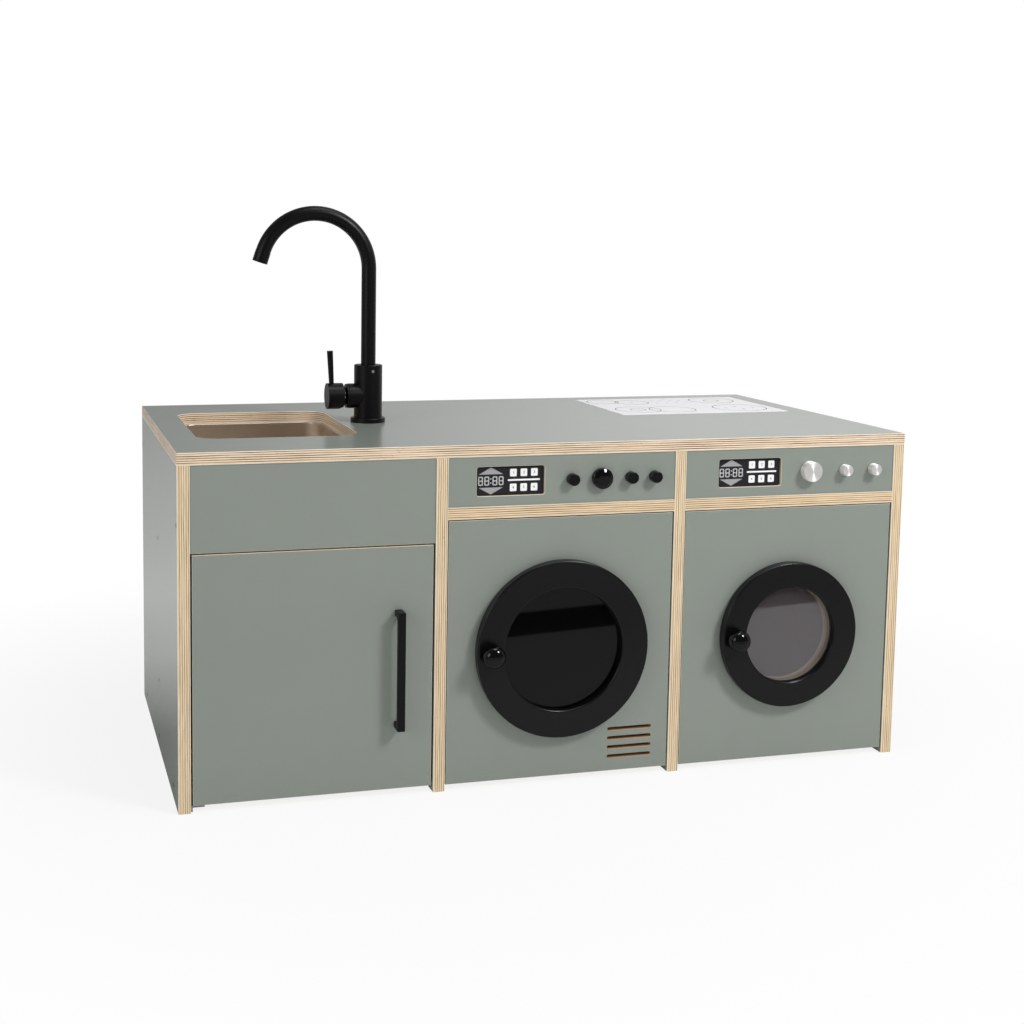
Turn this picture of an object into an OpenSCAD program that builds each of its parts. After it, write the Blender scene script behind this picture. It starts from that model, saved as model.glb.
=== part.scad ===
// Play kitchen and laundry unit: a sink cupboard, a tumble dryer and a washing machine under one worktop.
// Millimetres. X runs left to right, Y front to back and Z up from the floor.
// The origin lies on the floor, under the middle of the unit's box.

/* [Carcass] */
// Width over the two side boards
unit_w = 1200; // [1160:5:1300]
// Depth of the side boards, front edge to rear edge
unit_d = 600; // [570:5:700]
// Height of the worktop's upper face
unit_h = 545; // [530:5:620]
// Thickness of every laminated plywood board
board_t = 19; // [17:0.5:21]
// Clear width of the bay under the sink
sink_bay_w = 375; // [360:1:390]
// Clear width of the dryer bay
dryer_bay_w = 376; // [360:1:390]
// Height of the bay floors' underside above the ground
floor_z = 12; // [6:1:30]
// Height of the control fascias of the two machines
control_h = 77.5; // [70:0.5:90]
// Height of the fixed fascia over the cupboard door
sink_fascia_h = 131.5; // [115:0.5:145]
// Height of the rails across the rear of the bays
rear_rail_h = 100; // [60:1:120]
// Distance of every front panel behind the front edges of the uprights
front_inset = 1.5; // [0.5:0.25:4]
// Gap beside and below the fixed machine fronts
panel_gap = 2; // [1:0.25:4]
// Section of the battens that hold the machine fronts
batten = 20; // [15:1:30]

/* [Carcass fixings] */
// Distance of the outer floor screws and the dowels from the front and rear edges
fixing_inset = 68; // [50:1:100]
// Height of the lower partition screw above the bay floor
partition_screw_low = 86; // [40:1:120]
// Depth of the upper partition screw below the control shelves
partition_screw_high = 70; // [40:1:120]
// Height of the screw in the sink fascia above its lower edge
fascia_screw_up = 42; // [20:1:60]
// Height of the screw in the washer's control fascia above its lower edge
control_screw_up = 14; // [10:1:20]
// Radius of the side screws' shanks
screw_r = 2.5; // [2:0.1:3]
// Length of the side screws
screw_l = 50; // [40:1:60]
// Radius of the side screws' heads
screw_head_r = 3.5; // [3.2:0.1:5]
// Thickness of the side screws' heads
screw_head_h = 3; // [2:0.5:5]
// Radius of the worktop dowels
dowel_r = 4; // [3:0.5:5]
// Depth of the dowels in the worktop
dowel_up = 12; // [8:1:14]
// Depth of the dowels in the uprights
dowel_down = 18; // [12:1:25]
// Radius of the small screws in the brackets and the catch
small_screw_r = 1.5; // [1.25:0.25:2]

/* [Cupboard door] */
// Gap beside the door
door_side_gap = 3; // [2:0.25:4]
// Gap between the door and the fascia above it
door_top_gap = 2.5; // [1.5:0.25:4]
// Height of the door's lower edge above the ground
door_z = 11; // [9:0.5:14]
// Distance of the door's turning axis from its hinged edge
door_axis_in = 12; // [10:0.5:16]
// Distance of the door's turning axis behind its face
door_axis_back = 8; // [7:0.5:10]
// Radius of the door's pivot pins
pivot_r = 3; // [2:0.25:3.5]
// Depth of the pivot pins in the boards
pivot_in = 18; // [10:1:25]
// Thickness of the lower pivot's bracket
bracket_t = 3; // [2:0.5:4]
// Length of the bracket behind the door's turning axis
bracket_back = 26; // [22:1:32]
// Length of the bracket's screws
bracket_screw_l = 12; // [10:1:16]
// Radius of the handle's screws
handle_screw_r = 2; // [1.5:0.25:2.5]
// Depth of the handle's screws in its feet
handle_screw_in = 12; // [8:1:14]
// Radius of the handle screws' heads
handle_head_r = 4; // [3.5:0.25:5]
// Thickness of the handle screws' heads
handle_head_h = 2.5; // [1.5:0.25:3]
// Height of the magnetic catch
catch_w = 36; // [28:1:44]
// Size of the catch across the door
catch_d = 14; // [12:1:18]
// Size of the catch behind the door
catch_h = 12; // [10:1:16]
// Distance of the catch's middle below the door's top edge
catch_down = 60; // [40:1:90]
// Thickness of the catch's strike plate
strike_t = 1.5; // [1:0.25:2]
// Length of the bar handle
handle_l = 185; // [140:5:240]
// Side of the bar handle's section across the door
handle_w = 12; // [10:0.5:16]
// Thickness of the handle's bar
handle_t = 8; // [6:0.5:12]
// Distance of the handle's front from the door
handle_reach = 24; // [20:1:35]
// Height of each of the handle's feet
handle_foot = 10; // [9:0.5:14]
// Distance of the handle's middle line from the door's opening edge
handle_in = 54.5; // [40:0.5:80]

/* [Round doors] */
// Height of the middle of both round doors
door_mid_z = 219; // [205:1:240]
// Outer radius of the dryer door's ring
dryer_ring_r = 142; // [130:1:150]
// Radius of the opening in the dryer door's ring
dryer_open_r = 98; // [90:1:104]
// Outer radius of the washer door's ring
washer_ring_r = 120; // [112:1:130]
// Radius of the opening in the washer door's ring
washer_open_r = 79; // [70:1:82]
// Thickness of both rings
ring_t = 15; // [13:0.5:18]
// Width of the chamfer on the rings' edges
ring_chamfer = 1.2; // [0.5:0.1:2]
// Gap between a ring and the machine front
ring_gap = 2.8; // [2.8:0.1:3.6]
// Thickness of the acrylic windows
window_t = 3; // [2:0.5:4]
// Width of the rebate that holds a window
window_rebate = 6; // [4:0.5:8]
// How much larger the hole in the machine front is than the ring's opening
front_hole_extra = 1; // [0:0.5:3]
// Radius of a door knob's head
pull_r = 17.3; // [15:0.1:19]
// Length of a door knob
pull_l = 30; // [26:0.5:34]
// Radius of a door knob's neck
pull_neck_r = 8; // [6:0.5:10]
// Distance of a door knob's widest part from the ring
pull_rise = 12; // [10:0.5:14]
// Radius of the stud that holds a door knob
pull_stud_r = 2.5; // [2:0.25:3]
// Depth of the stud in the ring
pull_stud_l = 10; // [7:0.5:11]
// Radius of the door magnets
magnet_r = 5; // [4:0.5:6]
// Thickness of the door magnets
magnet_t = 4; // [3:0.5:5]

/* [Let-in hinges] */
// Height of a hinge
hinge_h = 40; // [30:1:60]
// Width of a hinge leaf
leaf_w = 16; // [12:0.5:18]
// Thickness of a hinge leaf
leaf_t = 1.2; // [1:0.1:1.2]
// Outer radius of the hinge knuckles
knuckle_r = 2.5; // [2.2:0.1:2.7]
// Radius of the hinge pins
hinge_pin_r = 1.2; // [1:0.05:1.4]
// Distance of the hinge axis inside the ring's edge
hinge_in = 4; // [3:0.25:4.2]
// Distance of the hinge axis in front of the ring's back
hinge_up = 4; // [3.8:0.1:4.5]
// Thickness of the necks between the knuckles and their leaves
neck_t = 1.5; // [1:0.1:2]

/* [Controls] */
// Radius of the small knobs
knob_r = 9.3; // [8:0.1:11]
// Radius of the large knobs
dial_r = 16.5; // [14:0.1:18]
// Length of every control knob
knob_l = 13; // [12:0.5:16]
// Width of the chamfer on the knobs' front edges
knob_chamfer = 0.6; // [0.3:0.1:1]
// Radius of the spindles that the knobs turn on
spindle_r = 3; // [2.5:0.1:3.5]
// Depth of a spindle in its knob
spindle_in = 9; // [7:0.5:10]
// Thickness of the shoulder between a spindle and the fascia
shoulder_t = 0.8; // [0.5:0.1:1.2]
// Radius of the spindles' shoulders
shoulder_r = 5; // [4:0.25:7]
// Thickness of the nuts behind the fascias
nut_t = 4; // [3:0.5:5]
// Radius of the nuts over their corners
nut_r = 5.8; // [5:0.1:7]
// Length of a spindle behind its nut
spindle_end = 2; // [1:0.5:4]
// Width of the cut-outs for the displays
display_w = 111; // [100:1:116]
// Height of the cut-outs for the displays
display_h = 46; // [40:1:52]
// Corner radius of the cut-outs for the displays
display_r = 4; // [2:0.5:6]
// Depth of the display pockets
display_pocket = 8; // [6:0.5:12]
// Thickness of the display panels
display_t = 3; // [2:0.5:4]
// Distance of the dryer's display from the left side of its bay
dryer_display_in = 45.5; // [35:0.5:55]
// Distance of the washer's display from the left side of its bay
washer_display_in = 57.5; // [45:0.5:65]

/* [Vent] */
// Number of slots in the dryer front
vent_count = 4; // [2:1:5]
// Length of a slot
vent_w = 76; // [50:1:90]
// Height of a slot
vent_h = 5.5; // [4:0.5:7]
// Distance between slots, middle to middle
vent_pitch = 15.1; // [12:0.1:16]
// Distance of the slots from the right side of the bay
vent_side = 29; // [24:1:50]
// Height of the lowest slot's middle
vent_low_z = 33.5; // [30:0.5:40]

/* [Sink] */
// Distance of the sink opening from the left side of the unit
sink_x = 48; // [44:1:60]
// Distance of the sink opening from the front edge
sink_y = 141; // [120:1:160]
// Width of the sink opening
sink_w = 260; // [240:1:280]
// Depth of the sink opening, front to back
sink_d = 330; // [300:1:350]
// Corner radius of the sink opening
sink_corner = 36; // [20:1:50]
// Width of the ledge that the basin shows inside the opening
basin_ledge = 3; // [1:0.5:5]
// Width of the basin's flange under the worktop
basin_flange = 14; // [10:1:18]
// Thickness of the basin's sheet
basin_t = 1; // [0.8:0.1:1.5]
// Depth of the basin
basin_depth = 88; // [60:1:90]
// Radius of the screws through the basin's flange
basin_screw_r = 1.75; // [1.5:0.25:2]
// Depth of the basin's screws in the worktop
basin_screw_in = 12; // [8:1:14]
// Radius of the basin screws' heads
basin_head_r = 4; // [3:0.25:5]
// Thickness of the basin screws' heads
basin_head_h = 2; // [1:0.25:3]

/* [Hob] */
// Width of the hob plate
hob_w = 328; // [300:1:340]
// Depth of the hob plate, front to back
hob_d = 240; // [200:1:260]
// Thickness of the hob plate
hob_t = 3; // [2:0.5:4]
// Height of the hob plate above the worktop
hob_proud = 0.5; // [0.2:0.1:1]
// Distance of the hob plate from the right side of the unit
hob_side = 40; // [30:1:60]
// Distance of the hob plate from the rear edge of the worktop
hob_back = 44; // [30:1:60]

/* [Mixer tap] */
// Distance of the tap's axis from the sink opening
tap_in = 49.5; // [46:0.5:60]
// Radius of the tap's body
tap_r = 24; // [22:0.5:26]
// Height of the tap's body above the worktop
tap_h = 98; // [90:1:110]
// Radius of the tap's foot ring
foot_r = 29.6; // [28:0.1:34]
// Height of the tap's foot ring
foot_h = 8; // [5:0.5:12]
// Radius of the threaded shank below the body
shank_r = 14; // [12:0.5:16]
// Length of the shank below the worktop
shank_l = 30; // [20:1:40]
// Thickness of the washer below the worktop
tap_washer_t = 2; // [1:0.5:3]
// Width of the washer's ring
tap_washer_w = 10; // [6:1:11]
// Height of the tap's nut
tap_nut_h = 8; // [6:0.5:12]
// Width of the nut's wall over its corners
tap_nut_w = 7; // [5:0.5:9]
// Radius of the spout's tube
spout_r = 12.5; // [11:0.25:14]
// Wall of the spout's tube
spout_wall = 1.5; // [1:0.25:2]
// Radius of the spout's bend, at the tube's middle
bend_r = 92.5; // [70:0.5:110]
// Height of the bend's centre above the worktop
bend_z = 260; // [200:5:300]
// Angle of the bend
bend_angle = 162; // [150:1:180]
// Length of the aerator
aerator_l = 19; // [14:1:25]
// How far the aerator stands out beyond the spout's tube
aerator_step = 0.4; // [0.2:0.1:1]
// Depth of the aerator's plug in the tube
aerator_in = 6; // [4:0.5:10]
// Width of the spigot's shoulder under the spout's tube
spigot_step = 2.5; // [2:0.25:3]
// Depth of the spout's spigot in the body
spigot_l = 28; // [18:1:34]
// Height of the mixer's axis above the worktop
mixer_z = 45; // [40:1:50]
// Radius of the mixer housing
mixer_r = 21; // [19:0.5:22]
// Distance of the mixer housing's face from the tap's axis
mixer_reach = 35.7; // [32:0.1:40]
// Length of the collar behind the lever's cap
collar_l = 3; // [2:0.5:4]
// Radius of the lever's cap
cap_r = 22; // [21:0.25:24]
// Length of the lever's cap
cap_l = 26.8; // [24:0.1:32]
// Distance of the ball's middle from the housing's face
ball_out = 9.4; // [9:0.1:11]
// Radius of the mixer's ball
ball_r = 15.5; // [14:0.1:16]
// Radius of the ball's stem
stem_r = 8; // [6:0.5:10]
// Depth of the stem's bore in the housing
stem_in = 30; // [24:1:34]
// Radius of the pin that the lever tips on
lever_pin_r = 2; // [1.5:0.25:2.5]
// Distance of the rod's foot behind the cap's face
rod_in = 9.2; // [8:0.1:11]
// Radius of the rod at the cap
rod_low_r = 4.2; // [3.5:0.1:5]
// Radius of the rod at its end
rod_high_r = 5.2; // [4:0.1:6]
// Depth of the rod in the cap
rod_tail = 6; // [4:0.5:6]
// Length of the lever's rod above the cap
rod_l = 55; // [40:1:70]
// Lean of the lever's rod
rod_lean = 3; // [0:0.5:6]

/* [Hidden] */
// Play of a fixing in its hole, and of an inlaid piece in its recess
fit = 0.1;
// Radial running clearance of pins, spindles and spigots
run = 0.05;
// Gap between parts that pass each other
pass = 0.5;
// Clearance round the hinge knuckles and the mixer's ball
play_round = 0.7;
// Overlap that lets a cut break through a face
cut = 1;

// Distance of the door knobs' heads in front of the uprights
proud = ring_gap + ring_t + pull_l - front_inset;
front_y = (proud - unit_d) / 2;

// Vertical levels
worktop_z = unit_h - board_t;
floor_top = floor_z + board_t;
shelf_top = worktop_z - control_h;
shelf_z = shelf_top - board_t;
sink_fascia_z = worktop_z - sink_fascia_h;
door_top = sink_fascia_z - door_top_gap;
panel_bottom = floor_z - panel_gap;
panel_top = shelf_z - panel_gap;

// Bays, as left and right limits from the unit's left side
sink_l = board_t;
sink_r = sink_l + sink_bay_w;
dryer_l = sink_r + board_t;
dryer_r = dryer_l + dryer_bay_w;
washer_l = dryer_r + board_t;
washer_r = unit_w - board_t;
uprights_mid = [board_t / 2, sink_r + board_t / 2, dryer_r + board_t / 2, unit_w - board_t / 2];
dryer_mid = (dryer_l + dryer_r) / 2;
washer_mid = (washer_l + washer_r) / 2;

// Depth positions, from the front edges of the uprights
panel_y = front_inset;
panel_back = front_inset + board_t;
panel_mid = front_inset + board_t / 2;
rear_face = unit_d - front_inset;
rear_rail_y = rear_face - board_t;
partition_y = (unit_d - board_t) / 2;

// Cupboard door
door_l = sink_l + door_side_gap;
door_r = sink_r - door_side_gap;
door_axis_x = door_l + door_axis_in;
door_axis_y = panel_y + door_axis_back;
door_swing = norm([door_axis_in, board_t - door_axis_back]);
sink_floor_y = door_axis_y + door_swing + 4 * pass;
bracket_top = door_z - 2 * pass;
bracket_front = door_axis_y - pivot_r - 2 * pass;
bracket_rear = door_axis_y + bracket_back;
bracket_screw_z = (bracket_top - bracket_t) / 2;
handle_x = door_r - handle_in;
handle_z = (door_z + door_top - handle_l) / 2;
handle_screw_z = [handle_z + handle_foot / 2, handle_z + handle_l - handle_foot / 2];
catch_z = door_top - catch_down;
strike_x = door_r - door_side_gap - catch_d - fit;

// Round doors
ring_back = panel_y - ring_gap;
ring_front = ring_back - ring_t;
magnet_angle = 205;
magnet_stand = (ring_gap - pass) / 2;
pull_foot = pull_neck_r / 8;
pull_flare = pull_rise / 3;
pull_dome = pull_l - pull_rise;
pull_rim = pull_dome / 3;
hinge_axis_y = ring_back - hinge_up;
knuckle_third = hinge_h / 3;
pocket_r = knuckle_r + play_round;

// Control knobs, by each axis's share of the fascia's width between the display and the bay's right side
dryer_small_shares = [0.2027, 0.6515, 0.836];
dryer_dial_share = 0.4282;
washer_small_shares = [0.5575, 0.8142];
washer_dial_share = 0.246;
dryer_knobs_l = dryer_l + dryer_display_in + display_w;
washer_knobs_l = washer_l + washer_display_in + display_w;
dryer_small_x = [for (share = dryer_small_shares) dryer_knobs_l + share * (dryer_r - dryer_knobs_l)];
dryer_dial_x = dryer_knobs_l + dryer_dial_share * (dryer_r - dryer_knobs_l);
washer_small_x = [for (share = washer_small_shares) washer_knobs_l + share * (washer_r - washer_knobs_l)];
washer_dial_x = washer_knobs_l + washer_dial_share * (washer_r - washer_knobs_l);
control_z = shelf_top + control_h / 2;
knob_back = panel_y - shoulder_t - pass / 2;
spindle_front = knob_back - spindle_in;

// Hob plate
hob_x = unit_w - hob_side - hob_w;
hob_y = unit_d - hob_back - hob_d;
hob_z = unit_h + hob_proud - hob_t;

// Sink and tap
tap_x = sink_x + sink_w + tap_in;
tap_y = sink_y + sink_d / 2;
basin_outer_z = worktop_z - basin_depth;
basin_screws_across = [0.2, 0.8];
basin_screws_along = [0.25, 0.75];
tap_bore_r = spout_r - spigot_step;
spout_bore_r = spout_r - spout_wall;
grub_r = 2.5;
grub_from = tap_bore_r + run + pass;
grub_angle = 277;
grub_down = 10;
mixer_axis_z = unit_h + mixer_z;
collar_x = tap_x - mixer_reach - pass;
ball_x = tap_x - mixer_reach - ball_out;
cap_front = ball_x - cap_l;
cap_bevel_x = 7;
cap_bevel_z = 5;
lever_pin_half = cap_r - 4 * pass;
rod_x = cap_front + rod_in;
spray_r = spout_bore_r / 2;
spray_hole_r = 1.2;
spray_t = 3;

$fn = 64;

// Colours
sage = [0.46, 0.5, 0.45];
birch = [0.82, 0.7, 0.55];
black = [0.1, 0.1, 0.1];
steel = [0.7, 0.7, 0.72];
alloy = [0.8, 0.8, 0.8];
white = [0.93, 0.93, 0.93];

// Moves children from the front left corner of the unit to its frame.
module place() {
    translate([-unit_w / 2, front_y, 0]) children();
}

// Box between two opposite corners.
module slab(from, to) {
    translate(from) cube(to - from);
}

// Cylinder along X, starting at a point.
module rod_x_at(at, h, r, r2 = undef) {
    translate(at) rotate([0, 90, 0]) cylinder(h = h, r1 = r, r2 = is_undef(r2) ? r : r2);
}

// Cylinder along Y, starting at a point and running back.
module rod_y_at(at, h, r) {
    translate(at) rotate([-90, 0, 0]) cylinder(h = h, r = r);
}

// Solid turned about an axis that runs forward, out of the front, from a point.
module turned_forward(at) {
    translate(at) rotate([90, 0, 0]) rotate_extrude() children();
}

// Rectangle with round corners, from its lower left corner.
module round_rect(w, h, r) {
    translate([r, 0]) square([w - 2 * r, h]);
    translate([0, r]) square([w, h - 2 * r]);
    for (x = [r, w - r], y = [r, h - r]) translate([x, y]) circle(r);
}

// Screw positions on a side board, as depth and height.
function floor_screws() = [
    for (y = [fixing_inset, unit_d / 2, unit_d - fixing_inset]) [y, floor_z + board_t / 2]
];
function partition_screws() = [
    [unit_d / 2, floor_top + partition_screw_low],
    [unit_d / 2, shelf_z - partition_screw_high]
];
function rear_screws() = [[rear_face - board_t / 2, worktop_z - rear_rail_h / 2]];
function shelf_screws() = [for (y = [fixing_inset, rear_rail_y - fixing_inset]) [y, shelf_z + board_t / 2]];
function left_screws() = concat(
    floor_screws(), partition_screws(), rear_screws(), [[panel_mid, sink_fascia_z + fascia_screw_up]]
);
function right_screws() = concat(
    floor_screws(), partition_screws(), rear_screws(), shelf_screws(),
    [[panel_mid, shelf_top + control_screw_up]]
);

// One side screw along +X from the origin; play widens it for its hole.
module side_screw(play = 0) {
    rod_x_at([0, 0, 0], screw_l + play, screw_r + play);
    rod_x_at([play > 0 ? -cut : 0, 0, 0], screw_head_h + (play > 0 ? cut : 0), screw_head_r + play);
}

module all_side_screws(play = 0) {
    for (p = left_screws()) translate([0, p[0], p[1]]) side_screw(play);
    for (p = right_screws()) translate([unit_w, p[0], p[1]]) mirror([1, 0, 0]) side_screw(play);
}

module all_dowels(play = 0) {
    for (x = uprights_mid, y = [fixing_inset, unit_d - fixing_inset])
        translate([x, y, worktop_z - dowel_down - play])
            cylinder(h = dowel_up + dowel_down + 2 * play, r = dowel_r + play);
}

// Positions of the screws through the basin's flange.
function basin_screw_points() = [
    for (x = basin_screws_across, y = [0, 1])
        [sink_x + x * sink_w, sink_y + y * sink_d + (y == 0 ? -1 : 1) * basin_flange / 2],
    for (y = basin_screws_along) [sink_x - basin_flange / 2, sink_y + y * sink_d]
];

module all_basin_screws(play = 0) {
    for (p = basin_screw_points())
        translate([p[0], p[1], worktop_z - basin_t - play])
            cylinder(h = basin_t + basin_screw_in + 2 * play, r = basin_screw_r + play);
}

module worktop() {
    color(sage) place() difference() {
        slab([0, 0, worktop_z], [unit_w, unit_d, unit_h]);
        translate([sink_x, sink_y, worktop_z - cut])
            linear_extrude(board_t + 2 * cut) round_rect(sink_w, sink_d, sink_corner);
        translate([tap_x, tap_y, worktop_z - cut]) cylinder(h = board_t + 2 * cut, r = shank_r + cut);
        translate([hob_x - fit, hob_y - fit, hob_z]) cube([hob_w + 2 * fit, hob_d + 2 * fit, hob_t]);
        all_dowels(fit);
        all_basin_screws(fit);
    }
}

module hob_plate() {
    color(white) place() translate([hob_x, hob_y, hob_z]) cube([hob_w, hob_d, hob_t]);
}

module upright(x) {
    color(sage) place() difference() {
        slab([x, 0, 0], [x + board_t, unit_d, worktop_z]);
        all_side_screws(fit);
        all_dowels(fit);
        catch_screws(fit);
        bracket_screws(fit);
    }
}

module left_side() { upright(0); }
module left_divider() { upright(sink_r); }
module right_divider() { upright(dryer_r); }
module right_side() { upright(washer_r); }

module bay_floors() {
    color(sage) place() difference() {
        union() {
            slab([sink_l, sink_floor_y, floor_z], [sink_r, rear_face, floor_top]);
            slab([dryer_l, panel_back, floor_z], [dryer_r, rear_face, floor_top]);
            slab([washer_l, panel_back, floor_z], [washer_r, rear_face, floor_top]);
        }
        all_side_screws(fit);
    }
}

module control_shelves() {
    color(sage) place() difference() {
        union() {
            slab([dryer_l, 0, shelf_z], [dryer_r, rear_rail_y, shelf_top]);
            slab([washer_l, 0, shelf_z], [washer_r, rear_rail_y, shelf_top]);
        }
        all_side_screws(fit);
    }
}

module bay_partitions() {
    color(sage) place() difference() {
        for (bay = [[sink_l, sink_r], [dryer_l, dryer_r], [washer_l, washer_r]])
            slab([bay[0], partition_y, floor_top], [bay[1], partition_y + board_t, shelf_z]);
        all_side_screws(fit);
    }
}

module rear_rails() {
    color(sage) place() difference() {
        for (bay = [[sink_l, sink_r], [dryer_l, dryer_r], [washer_l, washer_r]])
            slab([bay[0], rear_rail_y, worktop_z - rear_rail_h], [bay[1], rear_face, worktop_z]);
        all_side_screws(fit);
    }
}

module side_screws() { color(steel) place() all_side_screws(); }
module worktop_dowels() { color(birch) place() all_dowels(); }

module front_battens() {
    color(birch) place()
        for (x = [dryer_l, dryer_r - batten, washer_l, washer_r - batten])
            slab([x, panel_back, floor_top], [x + batten, panel_back + batten, shelf_z]);
}

module sink_fascia() {
    color(sage) place() difference() {
        slab([sink_l, panel_y, sink_fascia_z], [sink_r, panel_back, worktop_z]);
        all_side_screws(fit);
        translate([door_axis_x, door_axis_y, sink_fascia_z - cut])
            cylinder(h = pivot_in + cut + fit, r = pivot_r + fit);
    }
}

// Control fascia of one machine, with its display pocket and its spindle holes.
module control_fascia(left, right, display_in, knobs) {
    difference() {
        slab([left, panel_y, shelf_top], [right, panel_back, worktop_z]);
        translate([left + display_in, panel_y + display_pocket, control_z - display_h / 2])
            rotate([90, 0, 0]) linear_extrude(display_pocket + cut)
                round_rect(display_w, display_h, display_r);
        for (x = knobs) rod_y_at([x, panel_y - cut, control_z], board_t + 2 * cut, spindle_r + fit);
        all_side_screws(fit);
    }
}

module dryer_fascia() {
    color(sage) place()
        control_fascia(dryer_l, dryer_r, dryer_display_in, concat(dryer_small_x, [dryer_dial_x]));
}

module washer_fascia() {
    color(sage) place()
        control_fascia(washer_l, washer_r, washer_display_in, concat(washer_small_x, [washer_dial_x]));
}

// Display panel on the floor of its pocket.
module display_panel(left) {
    color(black) place()
        translate([left + fit, panel_y + display_pocket, control_z - display_h / 2 + fit])
            rotate([90, 0, 0]) linear_extrude(display_t)
                round_rect(display_w - 2 * fit, display_h - 2 * fit, display_r - fit);
}

module dryer_display() { display_panel(dryer_l + dryer_display_in); }
module washer_display() { display_panel(washer_l + washer_display_in); }

// Middle of a door's magnet, as distance across and up from the door's middle.
function magnet_at(r_open, r_ring) = (r_open + r_ring) / 2 * [cos(magnet_angle), sin(magnet_angle)];

// Fixed front of one machine, with the round opening and the magnet's seat.
module machine_front(left, right, mid, r_open, r_ring) {
    m = magnet_at(r_open, r_ring);
    difference() {
        slab([left + panel_gap, panel_y, panel_bottom], [right - panel_gap, panel_back, panel_top]);
        rod_y_at([mid, panel_y - cut, door_mid_z], board_t + 2 * cut, r_open + front_hole_extra);
        rod_y_at([mid + m[0], panel_y - cut, door_mid_z + m[1]], magnet_t - magnet_stand + cut,
            magnet_r + fit);
    }
}

module dryer_front() {
    color(sage) place() difference() {
        machine_front(dryer_l, dryer_r, dryer_mid, dryer_open_r, dryer_ring_r);
        for (z = [0 : vent_pitch : (vent_count - 1) * vent_pitch])
            translate([dryer_r - vent_side - vent_w, panel_back + cut, vent_low_z + z - vent_h / 2])
                rotate([90, 0, 0]) linear_extrude(board_t + 2 * cut) {
                    translate([vent_h / 2, 0]) square([vent_w - vent_h, vent_h]);
                    for (x = [vent_h / 2, vent_w - vent_h / 2]) translate([x, vent_h / 2]) circle(vent_h / 2);
                }
    }
}

module washer_front() {
    color(sage) place() machine_front(washer_l, washer_r, washer_mid, washer_open_r, washer_ring_r);
}

module stop_magnets() {
    color(steel) place()
        for (d = [[dryer_mid, dryer_open_r, dryer_ring_r], [washer_mid, washer_open_r, washer_ring_r]]) {
            m = magnet_at(d[1], d[2]);
            rod_y_at([d[0] + m[0], panel_y - magnet_stand, door_mid_z + m[1]], magnet_t, magnet_r);
        }
}

// Stainless basin that hangs by its flange under the worktop.
module sink_basin() {
    inner_w = sink_w - 2 * basin_ledge;
    inner_d = sink_d - 2 * basin_ledge;
    inner_r = sink_corner - basin_ledge;
    color(steel) place() difference() {
        union() {
            translate([sink_x - basin_flange, sink_y - basin_flange, worktop_z - basin_t])
                linear_extrude(basin_t) round_rect(
                    sink_w + 2 * basin_flange, sink_d + 2 * basin_flange, sink_corner + basin_flange
                );
            translate([sink_x + basin_ledge - basin_t, sink_y + basin_ledge - basin_t, basin_outer_z])
                linear_extrude(basin_depth - basin_t)
                    round_rect(inner_w + 2 * basin_t, inner_d + 2 * basin_t, inner_r + basin_t);
        }
        translate([sink_x + basin_ledge, sink_y + basin_ledge, basin_outer_z + basin_t])
            linear_extrude(basin_depth) round_rect(inner_w, inner_d, inner_r);
        all_basin_screws(fit);
    }
}

module basin_screws() {
    color(steel) place() {
        all_basin_screws();
        for (p = basin_screw_points())
            translate([p[0], p[1], worktop_z - basin_t - basin_head_h])
                cylinder(h = basin_head_h, r = basin_head_r);
    }
}

// Cupboard door and its fittings

module handle_bores(play = 0) {
    for (z = handle_screw_z)
        rod_y_at([handle_x, panel_y - handle_screw_in - play, z], board_t + handle_screw_in + 2 * play,
            handle_screw_r + play);
}

module cupboard_door() {
    color(sage) place() difference() {
        slab([door_l, panel_y, door_z], [door_r, panel_back, door_top]);
        translate([door_axis_x, door_axis_y, door_z - cut])
            cylinder(h = pivot_in + cut + pass, r = pivot_r + run);
        translate([door_axis_x, door_axis_y, door_top - pivot_in - pass])
            cylinder(h = pivot_in + cut + pass, r = pivot_r + run);
        handle_bores(fit);
        translate([strike_x - fit, panel_back - strike_t, catch_z - catch_w / 2 - fit])
            cube([catch_d + 2 * fit, strike_t + cut, catch_w + 2 * fit]);
    }
}

module catch_strike() {
    color(steel) place()
        translate([strike_x, panel_back - strike_t, catch_z - catch_w / 2])
            cube([catch_d, strike_t, catch_w]);
}

// Bar handle with two feet and a sloped inner corner at each foot.
module bar_handle() {
    bar_y = handle_reach - handle_t;
    slope = handle_t / 2;
    color(black) place() difference() {
        translate([handle_x - handle_w / 2, panel_y, handle_z])
            rotate([90, 0, 90]) linear_extrude(handle_w) polygon([
                [0, 0], [-handle_reach, 0], [-handle_reach, handle_l], [0, handle_l],
                [0, handle_l - handle_foot], [slope - bar_y, handle_l - handle_foot],
                [-bar_y, handle_l - handle_foot - slope], [-bar_y, handle_foot + slope],
                [slope - bar_y, handle_foot], [0, handle_foot]
            ]);
        handle_bores(fit);
    }
}

module handle_screws() {
    color(steel) place() {
        handle_bores();
        for (z = handle_screw_z) rod_y_at([handle_x, panel_back, z], handle_head_h, handle_head_r);
    }
}

// Screws of the magnetic catch into the left divider.
module catch_screws(play = 0) {
    for (z = [-1, 1])
        rod_x_at([sink_r - catch_d / 2, panel_back + catch_h / 2 + pass / 2, catch_z + z * catch_w / 3],
            catch_d + play, small_screw_r + play);
}

module door_catch() {
    color(white) place() {
        translate([sink_r - catch_d, panel_back + pass / 2, catch_z - catch_w / 2])
            cube([catch_d, catch_h, catch_w]);
        catch_screws();
    }
}

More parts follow.
